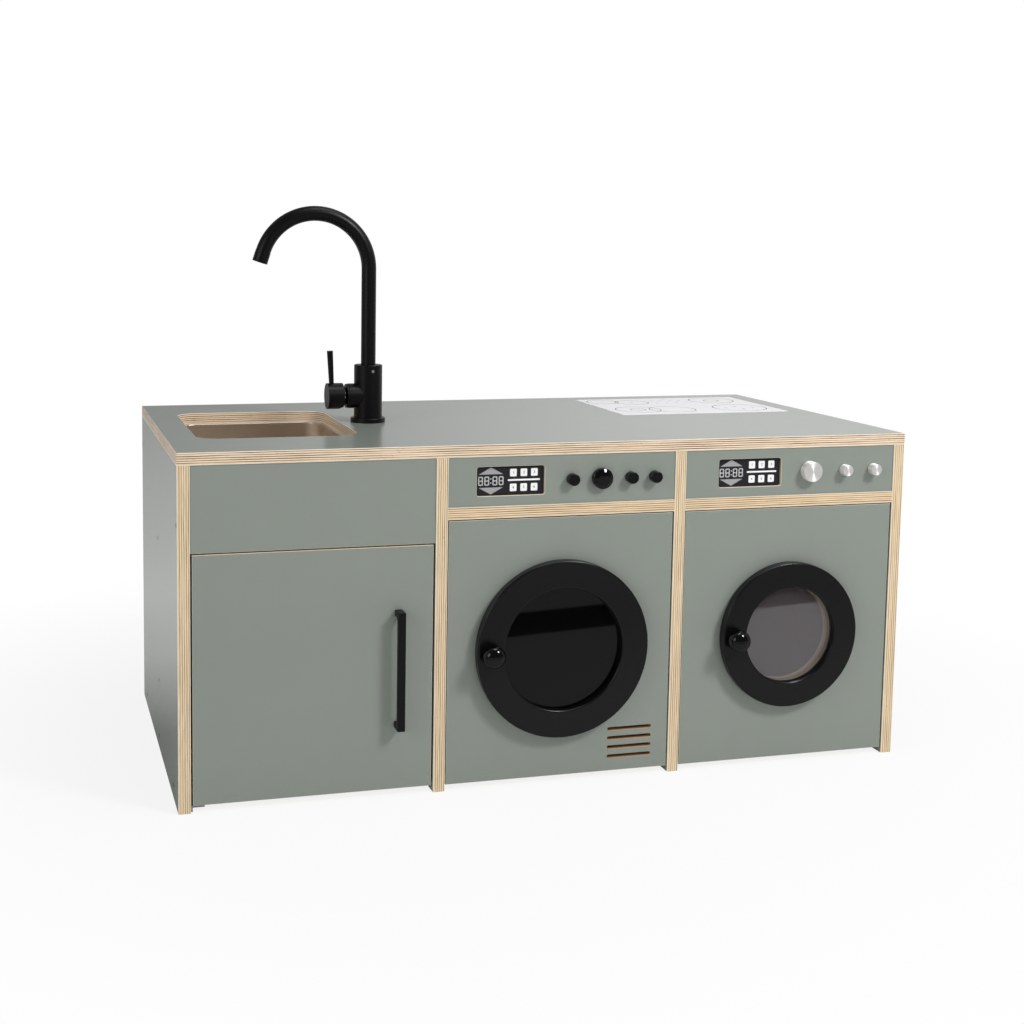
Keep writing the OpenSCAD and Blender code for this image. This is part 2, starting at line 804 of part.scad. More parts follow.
// Screws of the lower pivot's bracket into the left side board.
module bracket_screws(play = 0) {
    for (y = [bracket_back / 4, bracket_back * 3 / 4])
        rod_x_at([sink_l + bracket_t / 2 - bracket_screw_l - play, door_axis_y + y, bracket_screw_z],
            bracket_screw_l + play, small_screw_r + play);
}

// Lower bracket with its pin, and the upper pin in the fascia.
module door_pivots() {
    color(steel) place() {
        slab([sink_l, bracket_front, bracket_top - bracket_t],
            [door_axis_x + 2 * pivot_r, bracket_rear, bracket_top]);
        slab([sink_l, bracket_front, pass], [sink_l + bracket_t, bracket_rear, bracket_top]);
        translate([door_axis_x, door_axis_y, bracket_top - cut])
            cylinder(h = door_z + pivot_in - bracket_top + cut, r = pivot_r);
        bracket_screws();
        translate([door_axis_x, door_axis_y, door_top - pivot_in])
            cylinder(h = 2 * pivot_in + door_top_gap, r = pivot_r);
    }
}

// Round doors

// Ring with a rebate for its window, chamfered on both front edges.
module door_ring(mid, r_open, r_ring) {
    m = magnet_at(r_open, r_ring);
    c = ring_chamfer;
    color(black) place() difference() {
        turned_forward([mid, ring_back, door_mid_z]) polygon([
            [r_open + window_rebate, 0], [r_ring - c, 0], [r_ring, c], [r_ring, ring_t - c],
            [r_ring - c, ring_t], [r_open + c, ring_t], [r_open, ring_t - c], [r_open, window_t + fit],
            [r_open + window_rebate, window_t + fit]
        ]);
        slab([mid + r_ring - hinge_in - pocket_r, hinge_axis_y - pocket_r, door_mid_z - hinge_h / 2 - pass],
            [mid + r_ring + cut, ring_back + cut, door_mid_z + hinge_h / 2 + pass]);
        rod_y_at([mid - (r_open + r_ring) / 2, ring_front - cut, door_mid_z], pull_stud_l + cut + fit,
            pull_stud_r + fit);
        rod_y_at([mid + m[0], ring_back - magnet_t + magnet_stand, door_mid_z + m[1]], magnet_t + cut,
            magnet_r + fit);
    }
}

module ring_magnet(mid, r_open, r_ring) {
    m = magnet_at(r_open, r_ring);
    color(steel) place()
        rod_y_at([mid + m[0], ring_back - magnet_t + magnet_stand, door_mid_z + m[1]], magnet_t, magnet_r);
}

module door_window(mid, r_open, tint) {
    color(tint) place()
        rod_y_at([mid, ring_back - window_t, door_mid_z], window_t, r_open + window_rebate - fit);
}

// Mushroom knob: a neck that flares into a domed head, with a stud into the ring.
module door_pull(mid, r_open, r_ring) {
    color(black) place() {
        turned_forward([mid - (r_open + r_ring) / 2, ring_front, door_mid_z]) polygon(concat(
            [[0, 0], [pull_neck_r + pull_foot, 0], [pull_neck_r, 2 * pull_foot]],
            [for (a = [0 : 15 : 90])
                [pull_neck_r + (pull_r - pull_neck_r) * sin(a), pull_rise - pull_flare * cos(a)]],
            [for (a = [0 : 10 : 90])
                [pull_r * cos(a), pull_rise + pull_rim + (pull_dome - pull_rim) * sin(a)]]
        ));
        rod_y_at([mid - (r_open + r_ring) / 2, ring_front - cut, door_mid_z], pull_stud_l + cut, pull_stud_r);
    }
}

// One knuckle about the hinge axis, with the neck that reaches back to a leaf.
module knuckle(axis_x, from, to, back) {
    translate([axis_x, hinge_axis_y, door_mid_z + from]) cylinder(h = to - from, r = knuckle_r);
    slab([axis_x - neck_t / 2, hinge_axis_y, door_mid_z + from],
        [axis_x + neck_t / 2, back, door_mid_z + to]);
}

// Leaf on the machine front, with the outer knuckles and the pin.
module hinge_plate(mid, r_ring) {
    x = mid + r_ring - hinge_in;
    slab([x - leaf_w, panel_y - leaf_t, door_mid_z - hinge_h / 2],
        [x + neck_t / 2, panel_y, door_mid_z + hinge_h / 2]);
    knuckle(x, -hinge_h / 2, -knuckle_third / 2, panel_y);
    knuckle(x, knuckle_third / 2, hinge_h / 2, panel_y);
    translate([x, hinge_axis_y, door_mid_z - hinge_h / 2]) cylinder(h = hinge_h, r = hinge_pin_r);
}

module hinge_plates() {
    color(black) place() {
        hinge_plate(dryer_mid, dryer_ring_r);
        hinge_plate(washer_mid, washer_ring_r);
    }
}

// Leaf on the ring's back, with the middle knuckle.
module hinge_flap(mid, r_ring) {
    x = mid + r_ring - hinge_in;
    half = knuckle_third / 2 - pass / 2;
    color(black) place() difference() {
        union() {
            slab([x - leaf_w, ring_back, door_mid_z - hinge_h / 2],
                [x - pocket_r, ring_back + leaf_t, door_mid_z + hinge_h / 2]);
            slab([x - leaf_w, ring_back, door_mid_z - half],
                [x + neck_t / 2, ring_back + leaf_t, door_mid_z + half]);
            knuckle(x, -half, half, ring_back + leaf_t);
        }
        translate([x, hinge_axis_y, door_mid_z - hinge_h / 2]) cylinder(h = hinge_h, r = hinge_pin_r + run);
    }
}

module dryer_ring() { door_ring(dryer_mid, dryer_open_r, dryer_ring_r); }
module dryer_window() { door_window(dryer_mid, dryer_open_r, black); }
module dryer_pull() { door_pull(dryer_mid, dryer_open_r, dryer_ring_r); }
module dryer_hinge_flap() { hinge_flap(dryer_mid, dryer_ring_r); }
module dryer_ring_magnet() { ring_magnet(dryer_mid, dryer_open_r, dryer_ring_r); }
module washer_ring() { door_ring(washer_mid, washer_open_r, washer_ring_r); }
module washer_window() { door_window(washer_mid, washer_open_r, [0.7, 0.75, 0.78, 0.4]); }
module washer_pull() { door_pull(washer_mid, washer_open_r, washer_ring_r); }
module washer_hinge_flap() { hinge_flap(washer_mid, washer_ring_r); }
module washer_ring_magnet() { ring_magnet(washer_mid, washer_open_r, washer_ring_r); }

// Control knobs

function spindle_points() = concat(dryer_small_x, [dryer_dial_x], washer_small_x, [washer_dial_x]);

module knob_spindles() {
    color(steel) place() for (x = spindle_points()) {
        rod_y_at([x, spindle_front, control_z], panel_back + nut_t + spindle_end - spindle_front, spindle_r);
        rod_y_at([x, panel_y - shoulder_t, control_z], shoulder_t, shoulder_r);
    }
}

module spindle_nuts() {
    color(steel) place() for (x = spindle_points()) difference() {
        translate([x, panel_back, control_z]) rotate([-90, 0, 0]) cylinder(h = nut_t, r = nut_r, $fn = 6);
        rod_y_at([x, panel_back - cut, control_z], nut_t + 2 * cut, spindle_r + fit);
    }
}

// Turned knob with a chamfered front edge and a bore for its spindle.
module control_knob(x, r, tint) {
    color(tint) place() difference() {
        turned_forward([x, knob_back, control_z]) polygon([
            [0, 0], [r, 0], [r, knob_l - knob_chamfer], [r - knob_chamfer, knob_l], [0, knob_l]
        ]);
        rod_y_at([x, spindle_front - pass, control_z], spindle_in + pass + cut, spindle_r + run);
    }
}

module dryer_dial() { control_knob(dryer_dial_x, dial_r, black); }
module dryer_knob_1() { control_knob(dryer_small_x[0], knob_r, black); }
module dryer_knob_2() { control_knob(dryer_small_x[1], knob_r, black); }
module dryer_knob_3() { control_knob(dryer_small_x[2], knob_r, black); }
module washer_dial() { control_knob(washer_dial_x, dial_r, alloy); }
module washer_knob_1() { control_knob(washer_small_x[0], knob_r, alloy); }
module washer_knob_2() { control_knob(washer_small_x[1], knob_r, alloy); }

// Mixer tap

// Grub screw that keeps the spout in the body.
module grub(play = 0) {
    translate([tap_x, tap_y, unit_h + tap_h - grub_down]) rotate([0, 0, grub_angle])
        rod_x_at([grub_from, 0, 0], tap_r - grub_from + (play > 0 ? cut : 0), grub_r + play);
}

module tap_grub_screw() { color(alloy) place() grub(); }

module tap_body() {
    color(black) place() difference() {
        union() {
            translate([tap_x, tap_y, unit_h]) cylinder(h = tap_h, r = tap_r);
            translate([tap_x, tap_y, worktop_z - shank_l]) cylinder(h = shank_l + board_t + cut, r = shank_r);
            rod_x_at([tap_x - mixer_reach, tap_y, mixer_axis_z], mixer_reach, mixer_r);
        }
        translate([tap_x, tap_y, unit_h + tap_h - spigot_l - pass])
            cylinder(h = spigot_l + pass + cut, r = tap_bore_r + run);
        rod_x_at([tap_x - mixer_reach - cut, tap_y, mixer_axis_z], stem_in + cut, stem_r + run);
        grub(fit);
    }
}

module tap_foot_ring() {
    color(black) place() difference() {
        translate([tap_x, tap_y, unit_h]) cylinder(h = foot_h, r = foot_r);
        translate([tap_x, tap_y, unit_h - cut]) cylinder(h = foot_h + 2 * cut, r = tap_r + fit);
    }
}

module tap_nut() {
    color(steel) place() difference() {
        union() {
            translate([tap_x, tap_y, worktop_z - tap_washer_t])
                cylinder(h = tap_washer_t, r = shank_r + tap_washer_w);
            translate([tap_x, tap_y, worktop_z - tap_washer_t - tap_nut_h])
                cylinder(h = tap_nut_h + tap_washer_t / 2, r = shank_r + tap_nut_w, $fn = 6);
        }
        translate([tap_x, tap_y, worktop_z - tap_washer_t - tap_nut_h - cut])
            cylinder(h = tap_nut_h + tap_washer_t + 2 * cut, r = shank_r + fit);
    }
}

// Route of the spout: spigot, column and bend, as a round bar of one radius.
module spout_bar(r, more = 0) {
    translate([tap_x, tap_y, unit_h + tap_h - more]) cylinder(h = bend_z - tap_h + more, r = r);
    translate([tap_x - bend_r, tap_y, unit_h + bend_z])
        rotate([90, 0, 0]) rotate_extrude(angle = bend_angle, $fn = 96) translate([bend_r, 0]) circle(r);
}

// Moves children to the end of the bend, with +Z along the water's way.
module spout_end() {
    translate([tap_x - bend_r, tap_y, unit_h + bend_z]) rotate([0, -bend_angle, 0])
        translate([bend_r, 0, 0]) children();
}

module spout() {
    color(black) place() difference() {
        union() {
            spout_bar(spout_r);
            translate([tap_x, tap_y, unit_h + tap_h - spigot_l]) cylinder(h = spigot_l + cut, r = tap_bore_r);
        }
        spout_bar(spout_bore_r, -spout_wall);
        translate([tap_x, tap_y, unit_h + tap_h - spigot_l - cut])
            cylinder(h = spigot_l + 3 * cut + spout_wall, r = tap_bore_r - spout_wall);
    }
}

module aerator() {
    color(black) place() spout_end() difference() {
        union() {
            cylinder(h = aerator_l, r = spout_r + aerator_step);
            translate([0, 0, -aerator_in]) cylinder(h = aerator_in + cut, r = spout_bore_r - fit);
        }
        translate([0, 0, -aerator_in - cut])
            cylinder(h = aerator_l + aerator_in + cut - 2 * spray_t, r = spout_bore_r - spout_wall);
        translate([0, 0, aerator_l - spray_t]) cylinder(h = spray_t + cut, r = spout_bore_r - spout_wall / 2);
        for (a = [0 : 45 : 315]) rotate([0, 0, a]) translate([spray_r, 0, 0])
            cylinder(h = aerator_l, r = spray_hole_r, $fn = 24);
    }
}

module mixer_collar() {
    color(black) place() difference() {
        rod_x_at([collar_x - collar_l, tap_y, mixer_axis_z], collar_l + pass, mixer_r - pass);
        rod_x_at([collar_x - collar_l - cut, tap_y, mixer_axis_z], collar_l + pass + 2 * cut, stem_r + run);
    }
}

// Ball that turns about the mixer's axis and carries the lever's pin.
module mixer_ball() {
    color(black) place() difference() {
        union() {
            intersection() {
                translate([ball_x, tap_y, mixer_axis_z]) sphere(ball_r);
                slab([ball_x - ball_r, tap_y - ball_r, mixer_axis_z - ball_r],
                    [collar_x - collar_l - pass, tap_y + ball_r, mixer_axis_z + ball_r]);
            }
            rod_x_at([ball_x, tap_y, mixer_axis_z], tap_x - mixer_reach + stem_in - pass - ball_x, stem_r);
        }
        rod_y_at([ball_x, tap_y - cap_r, mixer_axis_z], 2 * cap_r, lever_pin_r + run);
    }
}

module lever_pin() {
    color(steel) place()
        rod_y_at([ball_x, tap_y - lever_pin_half, mixer_axis_z], 2 * lever_pin_half, lever_pin_r);
}

// Cap over the ball, bevelled below at the rear so that the lever can tip.
module lever_cap() {
    color(black) place() difference() {
        rod_x_at([cap_front, tap_y, mixer_axis_z], cap_l, cap_r);
        translate([ball_x, tap_y, mixer_axis_z]) sphere(ball_r + play_round);
        rod_y_at([ball_x, tap_y - lever_pin_half - fit, mixer_axis_z], 2 * (lever_pin_half + fit),
            lever_pin_r + fit);
        translate([ball_x - cap_bevel_x, tap_y + cap_r + cut, mixer_axis_z - cap_r])
            rotate([90, 0, 0]) linear_extrude(2 * cap_r + 2 * cut) polygon([
                [0, 0], [0, -cut], [cap_bevel_x + cut, -cut],
                [cap_bevel_x + cut, cap_bevel_z], [cap_bevel_x, cap_bevel_z]
            ]);
        translate([rod_x, tap_y, mixer_axis_z]) rotate([0, -rod_lean, 0])
            translate([0, 0, cap_r - rod_tail - fit]) cylinder(h = rod_tail + 2 * cut, r = rod_low_r + fit);
    }
}

module lever_rod() {
    color(black) place() translate([rod_x, tap_y, mixer_axis_z]) rotate([0, -rod_lean, 0])
        translate([0, 0, cap_r - rod_tail]) {
            cylinder(h = rod_tail, r = rod_low_r);
            translate([0, 0, rod_tail]) cylinder(h = rod_l, r1 = rod_low_r, r2 = rod_high_r);
        }
}

worktop();
left_side();
left_divider();
right_divider();
right_side();
bay_floors();
control_shelves();
bay_partitions();
rear_rails();
sink_fascia();
dryer_fascia();
washer_fascia();
dryer_front();
washer_front();
dryer_display();
washer_display();
sink_basin();
basin_screws();
hob_plate();
side_screws();
worktop_dowels();
front_battens();
door_catch();
stop_magnets();
door_pivots();
hinge_plates();
tap_body();
tap_foot_ring();
tap_nut();
tap_grub_screw();
mixer_collar();
knob_spindles();
spindle_nuts();
cupboard_door();
bar_handle();
handle_screws();
catch_strike();
dryer_ring();
dryer_window();
dryer_pull();
dryer_hinge_flap();
dryer_ring_magnet();
washer_ring();
washer_window();
washer_pull();
washer_hinge_flap();
washer_ring_magnet();
spout();
aerator();
mixer_ball();
lever_cap();
lever_pin();
lever_rod();
dryer_dial();
dryer_knob_1();
dryer_knob_2();
dryer_knob_3();
washer_dial();
washer_knob_1();
washer_knob_2();
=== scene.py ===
"""Dresses a plywood play laundry bench with a sink cupboard, two round-doored machines and a printed hob."""

import logging
import math
from dataclasses import dataclass
from enum import Enum
from typing import ClassVar, Iterable, Sequence

import bmesh
import bpy
from mathutils import Matrix, Vector
from mathutils.geometry import tessellate_polygon


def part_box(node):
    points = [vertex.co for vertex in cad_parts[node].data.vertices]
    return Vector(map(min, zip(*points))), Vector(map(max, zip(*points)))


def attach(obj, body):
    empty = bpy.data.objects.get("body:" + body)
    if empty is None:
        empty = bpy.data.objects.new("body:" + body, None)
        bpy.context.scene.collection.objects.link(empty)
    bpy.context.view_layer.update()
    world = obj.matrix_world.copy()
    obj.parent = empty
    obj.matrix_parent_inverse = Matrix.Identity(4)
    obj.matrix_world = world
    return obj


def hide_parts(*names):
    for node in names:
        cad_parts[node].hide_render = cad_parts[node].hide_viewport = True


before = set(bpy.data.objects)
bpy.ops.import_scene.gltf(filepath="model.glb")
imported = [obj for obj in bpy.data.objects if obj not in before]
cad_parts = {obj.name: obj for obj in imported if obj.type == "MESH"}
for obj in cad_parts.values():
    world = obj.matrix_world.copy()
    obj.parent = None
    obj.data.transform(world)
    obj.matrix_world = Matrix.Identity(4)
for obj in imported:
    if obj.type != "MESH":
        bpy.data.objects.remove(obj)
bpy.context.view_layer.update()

LOG = logging.getLogger("laundry_bench")
Loop = list[Vector]
Profile = list[tuple[float, float]]

# The bench's own frame is in millimetres, from its left front foot. The row's frame is in metres, centred.
HALF_WIDTH = 600.0
FRONT_IN = 276.85
BOARD_T = 19.0
# Places that several sub-assemblies share: the round doors' middles and the tap's axis.
DRYER_MID = 601.0
WASHER_MID = 994.5
DOOR_MID_Z = 219.0
TAP_AT = (357.5, 306.0)
# A copy that is neither turned nor sized.
STRAIGHT = (0.0, 0.0, 0.0)
FULL_SIZE = (1.0, 1.0, 1.0)
# How far from a rounded edge a flat face gets its own ring of points.
FLAT_EDGE = 0.03


class Axis(Enum):
    """Direction of a board's thickness: its index, and the two directions that span the board."""

    X = (0, 1, 2)
    Y = (1, 0, 2)
    Z = (2, 0, 1)


class KnobStyle(Enum):
    """The kinds of control knob on the two fascias."""

    BLACK_SMALL = "satin black, flat face"
    BLACK_DIAL = "gloss black, domed face"
    ALLOY_SMALL = "turned alloy, small"
    ALLOY_DIAL = "turned alloy, spun face"


class WindowKind(Enum):
    """The two sheets that close the round doors."""

    DARK = "dark acrylic"
    CLEAR = "clear acrylic"


def row(point: Sequence[float]) -> Vector:
    """Turns a point of the bench's frame, in millimetres, into the row's frame, in metres."""
    return Vector((point[0] - HALF_WIDTH, point[1] - FRONT_IN, point[2])) / 1000


def bench(point: Vector) -> Vector:
    """Turns a point of the row's frame, in metres, into the bench's frame, in millimetres."""
    return Vector((point[0] * 1000 + HALF_WIDTH, point[1] * 1000 + FRONT_IN, point[2] * 1000))


def span(node: str) -> tuple[Vector, Vector]:
    """Gives a CAD node's lowest and highest corners in the bench's frame."""
    low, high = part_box(node)
    return bench(low), bench(high)


def solids(node: str) -> list[tuple[Vector, Vector]]:
    """Finds the box of each separate solid in a CAD node.

    Args:
        node: The CAD node's name.

    Returns:
        The lowest and highest corner of each solid, in the bench's frame, sorted by place.
    """
    bm = bmesh.new()
    bm.from_mesh(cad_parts[node].data)
    bmesh.ops.remove_doubles(bm, verts=bm.verts, dist=1e-6)
    left = set(bm.verts)
    boxes = []
    while left:
        island = [left.pop()]
        for vert in island:
            near = {edge.other_vert(vert) for edge in vert.link_edges} & left
            left -= near
            island.extend(near)
        corners = [bench(v.co) for v in island]
        low = Vector([min(c[i] for c in corners) for i in range(3)])
        high = Vector([max(c[i] for c in corners) for i in range(3)])
        boxes.append((low, high))
    bm.free()
    return sorted(boxes, key=lambda b: tuple(round(x, 2) for x in (*b[0], *b[1])))


# Flat loops and profiles


def circle(centre: Sequence[float], radius: float, steps: int = 64) -> Loop:
    """Makes a round loop, anticlockwise."""
    turns = [2 * math.pi * k / steps for k in range(steps)]
    return [Vector((centre[0] + radius * math.cos(a), centre[1] + radius * math.sin(a))) for a in turns]


def rounded(low: Sequence[float], high: Sequence[float], radius: float, steps: int = 8) -> Loop:
    """Makes a rectangle with round corners, anticlockwise.

    Args:
        low: The lower left corner.
        high: The upper right corner.
        radius: The corners' radius.
        steps: The number of edges in each corner.

    Returns:
        The loop's points.
    """
    if radius <= 0:
        (left, down), (right, up) = low, high
        return [Vector(p) for p in ((left, down), (right, down), (right, up), (left, up))]
    centres = (
        (high[0] - radius, low[1] + radius, -90),
        (high[0] - radius, high[1] - radius, 0),
        (low[0] + radius, high[1] - radius, 90),
        (low[0] + radius, low[1] + radius, 180),
    )
    loop = []
    for x, y, start in centres:
        for k in range(steps + 1):
            a = math.radians(start + 90 * k / steps)
            loop.append(Vector((x + radius * math.cos(a), y + radius * math.sin(a))))
    return loop


def moved(loop: Loop, across: float, up: float = 0.0) -> Loop:
    """Moves a flat loop."""
    return [point + Vector((across, up)) for point in loop]


def grown(loop: Loop, by: float) -> Loop:
    """Moves each edge of an anticlockwise loop outwards.

    Args:
        loop: The loop.
        by: The distance, negative for inwards.

    Returns:
        The moved loop, with as many points.
    """
    result = []
    for k, point in enumerate(loop):
        before = (point - loop[k - 1]).normalized()
        after = (loop[(k + 1) % len(loop)] - point).normalized()
        normal = Vector((before.y + after.y, -before.x - after.x))
        normal.normalize()
        lean = max(0.3, normal.dot(Vector((after.y, -after.x))))
        result.append(point + normal * (by / lean))
    return result


def filleted(corners: Sequence[Sequence[float]], closed: bool = False, steps: int = 5) -> Profile:
    """Rounds a profile's corners, with a point close to each end of a curve, so that flats are shaded flat.

    Args:
        corners: Each corner's two places and the radius it gets.
        closed: Whether the last corner joins the first.
        steps: The number of edges in each rounded corner.

    Returns:
        The profile's points.
    """
    points = []
    count = len(corners)
    for k, (x, y, radius) in enumerate(corners):
        at = Vector((x, y))
        if radius <= 0 or (not closed and k in (0, count - 1)):
            points.append((x, y))
            continue
        back = (Vector(corners[k - 1][:2]) - at).normalized()
        ahead = (Vector(corners[(k + 1) % count][:2]) - at).normalized()
        half = back.angle(ahead) / 2
        centre = at + (back + ahead).normalized() * (radius / math.sin(half))
        reach = radius / math.tan(half)
        first = at + back * reach - centre
        last = at + ahead * reach - centre
        start = math.atan2(first.y, first.x)
        turn = (math.atan2(last.y, last.x) - start + math.pi) % (2 * math.pi) - math.pi
        arc = [start + turn * i / steps for i in range(steps + 1)]
        points.append(tuple(at + back * (reach + FLAT_EDGE)))
        points.extend((centre.x + radius * math.cos(a), centre.y + radius * math.sin(a)) for a in arc)
        points.append(tuple(at + ahead * (reach + FLAT_EDGE)))
    return points


# Mesh making


@dataclass
class Opening:
    """A hole or a pocket in a board.

    The depth is None for a hole, and from_high names the face that a pocket is cut in. The walls have the
    slot of the cut edges, unless the opening names its own.
    """

    loop: Loop
    depth: float | None = None
    from_high: bool = True
    slot: int | None = None


class Stock:
    """A mesh that is built up from rings of points, in the bench's millimetres, and becomes one piece."""

    def __init__(self) -> None:
        """Starts an empty mesh with a vector for the plies and a UV map for turned work."""
        self.bm = bmesh.new()
        self.ply = self.bm.verts.layers.float_vector.new("ply")
        self.uv = self.bm.loops.layers.uv.new("turned")

    def ring(self, points: Iterable[Sequence[float]], plies: Iterable[Sequence[float]] | None = None) -> list:
        """Adds points.

        Args:
            points: The places, in the bench's frame.
            plies: Each point's place on its board and depth in it, for the pattern of the plies.

        Returns:
            The new vertices.
        """
        verts = [self.bm.verts.new(row(p)) for p in points]
        for vert, ply in zip(verts, plies or ()):
            vert[self.ply] = ply
        return verts

    def face(self, verts: Sequence, slot: int = 0, uvs: Sequence[Sequence[float]] | None = None) -> None:
        """Adds one face.

        Args:
            verts: Its corners' vertices.
            slot: Its material slot.
            uvs: The UV of each corner, or none.
        """
        new = self.bm.faces.new(verts)
        new.material_index = slot
        for loop, uv in zip(new.loops, uvs or ()):
            loop[self.uv].uv = uv

    def band(self, lower: Sequence, upper: Sequence, slot: int = 0) -> None:
        """Joins two closed rings of as many vertices with four-sided faces."""
        for k in range(len(lower)):
            self.face((lower[k - 1], lower[k], upper[k], upper[k - 1]), slot)

    def cap(self, loops: Sequence[Loop], verts: Sequence, slot: int = 0) -> None:
        """Closes a flat region between an outer loop and the loops of its holes."""
        for triangle in tessellate_polygon([[Vector((p.x, p.y, 0)) for p in loop] for loop in loops]):
            self.face([verts[i] for i in triangle], slot)

    def turn(
        self,
        profile: Sequence[Sequence[float]],
        origin: Sequence[float],
        along: Sequence[float],
        steps: int = 96,
        closed: bool = False,
        slots: Sequence[int] | None = None,
    ) -> None:
        """Turns a profile about a line.

        Args:
            profile: Points of radius and height along the line.
            origin: The line's foot, in the bench's frame.
            along: The line's direction.
            steps: The number of faces round the line.
            closed: Whether the profile's end joins its start, as in a ring with an opening.
            slots: The material slot of each step of the profile, or none for the first slot throughout.
        """
        axis = Vector(along).normalized()
        side = axis.orthogonal().normalized()
        other = axis.cross(side)
        foot = Vector(origin)
        rows = []
        for radius, height in profile:
            if radius < 1e-6:
                rows.append(self.ring([foot + axis * height]) * steps)
                continue
            turns = [2 * math.pi * k / steps for k in range(steps)]
            rim = [foot + axis * height + (side * math.cos(a) + other * math.sin(a)) * radius for a in turns]
            rows.append(self.ring(rim))
        count = len(profile)
        travelled = 0.0
        for i in range(count if closed else count - 1):
            j = (i + 1) % count
            length = math.dist(profile[i], profile[j]) / 100
            slot = slots[i] if slots else 0
            for k in range(steps):
                m = (k + 1) % steps
                u, w = k / steps, (k + 1) / steps
                corners = [
                    (rows[i][k], (u, travelled)),
                    (rows[i][m], (w, travelled)),
                    (rows[j][m], (w, travelled + length)),
                    (rows[j][k], (u, travelled + length)),
                ]
                kept = [c for n, c in enumerate(corners) if c[0] is not corners[n - 1][0]]
                self.face([c[0] for c in kept], slot, [c[1] for c in kept])
            travelled += length

    def board(
        self,
        axis: Axis,
        low: float,
        high: float,
        outline: Loop,
        openings: Sequence[Opening] = (),
        ease: float = 0.4,
        slots: tuple[int, int] = (0, 1),
        offset: float = 0.0,
    ) -> None:
        """Adds a board with eased edges, holes and pockets.

        Args:
            axis: The direction of the thickness.
            low: Where the board starts along it.
            high: Where the board ends along it.
            outline: The board's edge, anticlockwise, in the two other directions.
            openings: The holes and pockets.
            ease: The width of the small bevel on every edge.
            slots: The material slots of the faces and of the cut edges.
            offset: Shifts the pattern of the plies, so that no two boards are alike.
        """
        thick, across, up = axis.value

        def level(loop: Loop, at: float) -> list:
            """Adds a loop of the board.

            Args:
                loop: The flat loop.
                at: Its place along the thickness.

            Returns:
                The loop's vertices.
            """
            points, plies = [], []
            for p in loop:
                point = [0.0, 0.0, 0.0]
                point[thick], point[across], point[up] = at, p.x, p.y
                points.append(point)
                plies.append((p.x + offset, p.y + offset * 0.7, at - low))
            return self.ring(points, plies)

        tops: list[tuple[Loop, list]] = []
        bottoms: list[tuple[Loop, list]] = []
        small = grown(outline, -ease)
        levels = ((small, low), (outline, low + ease), (outline, high - ease), (small, high))
        rings = [level(loop, at) for loop, at in levels]
        bottoms.append((small, rings[0]))
        tops.append((small, rings[3]))
        for lower, upper in zip(rings, rings[1:]):
            self.band(lower, upper, slots[1])
        for opening in openings:
            wide = grown(opening.loop, ease)
            if opening.depth is None:
                levels = ((wide, low), (opening.loop, low + ease), (opening.loop, high - ease), (wide, high))
            elif opening.from_high:
                levels = ((opening.loop, high - opening.depth), (opening.loop, high - ease), (wide, high))
            else:
                levels = ((opening.loop, low + opening.depth), (opening.loop, low + ease), (wide, low))
            rings = [level(loop, at) for loop, at in levels]
            wall = slots[1] if opening.slot is None else opening.slot
            for lower, upper in zip(rings, rings[1:]):
                self.band(lower, upper, wall)
            if opening.depth is None:
                bottoms.append((wide, rings[0]))
                tops.append((wide, rings[-1]))
            else:
                self.cap([opening.loop], rings[0], wall)
                (tops if opening.from_high else bottoms).append((wide, rings[-1]))
        for faces in (tops, bottoms):
            self.cap([loop for loop, _ in faces], [v for _, ring in faces for v in ring], slots[0])

    def mesh(self, name: str, smooth: float = 30.0) -> bpy.types.Mesh:
        """Closes the work, with all faces pointing outwards.

        Args:
            name: The mesh's name.
            smooth: Edges under this angle, in degrees, are shaded smooth.

        Returns:
            The mesh.
        """
        bmesh.ops.recalc_face_normals(self.bm, faces=self.bm.faces)
        mesh = bpy.data.meshes.new(name)
        self.bm.to_mesh(mesh)
        self.bm.free()
        return shaded(mesh, smooth)


def shaded(mesh: bpy.types.Mesh, angle: float) -> bpy.types.Mesh:
    """Shades a mesh smooth, apart from its sharp edges.

    Args:
        mesh: The mesh.
        angle: Edges over this angle, in degrees, stay sharp.

    Returns:
        The same mesh.
    """
    mesh.polygons.foreach_set("use_smooth", [True] * len(mesh.polygons))
    mesh.set_sharp_from_angle(angle=math.radians(angle))
    return mesh


def placed(name: str, data: bpy.types.ID) -> bpy.types.Object:
    """Makes an object and puts it into the scene.

    Args:
        name: Its name.
        data: Its mesh, lamp or camera.

    Returns:
        The object.
    """
    thing = bpy.data.objects.new(name, data)
    bpy.context.scene.collection.objects.link(thing)
    return thing


def applied(thing: bpy.types.Object) -> bpy.types.Mesh:
    """Applies an object's modifiers.

    Args:
        thing: The object, which stays as it is.

    Returns:
        A plain mesh of its own.
    """
    bpy.context.view_layer.update()
    seen = thing.evaluated_get(bpy.context.evaluated_depsgraph_get())
    return bpy.data.meshes.new_from_object(seen)


def settle(
    mesh: bpy.types.Mesh,
    name: str,
    body: str,
    finishes: Sequence["Finish"],
    stands_for: Sequence[str] = (),
) -> bpy.types.Object:
    """Makes a mesh into a finished piece that moves with a body.

    Args:
        mesh: The piece's mesh, in the row's frame.
        name: The piece's name.
        body: The CAD body that it moves with.
        finishes: The finishes, in the order of the mesh's material slots.
        stands_for: The CAD nodes that it replaces.

    Returns:
        The piece's object.
    """
    for k, finish in enumerate(finishes):
        if k < len(mesh.materials):
            mesh.materials[k] = finish.material()
        else:
            mesh.materials.append(finish.material())
    piece = placed(name, mesh)
    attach(piece, body)
    if stands_for:
        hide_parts(*stands_for)
    LOG.info("%s: %d faces on %s", name, len(mesh.polygons), body)
    return piece


# Node trees


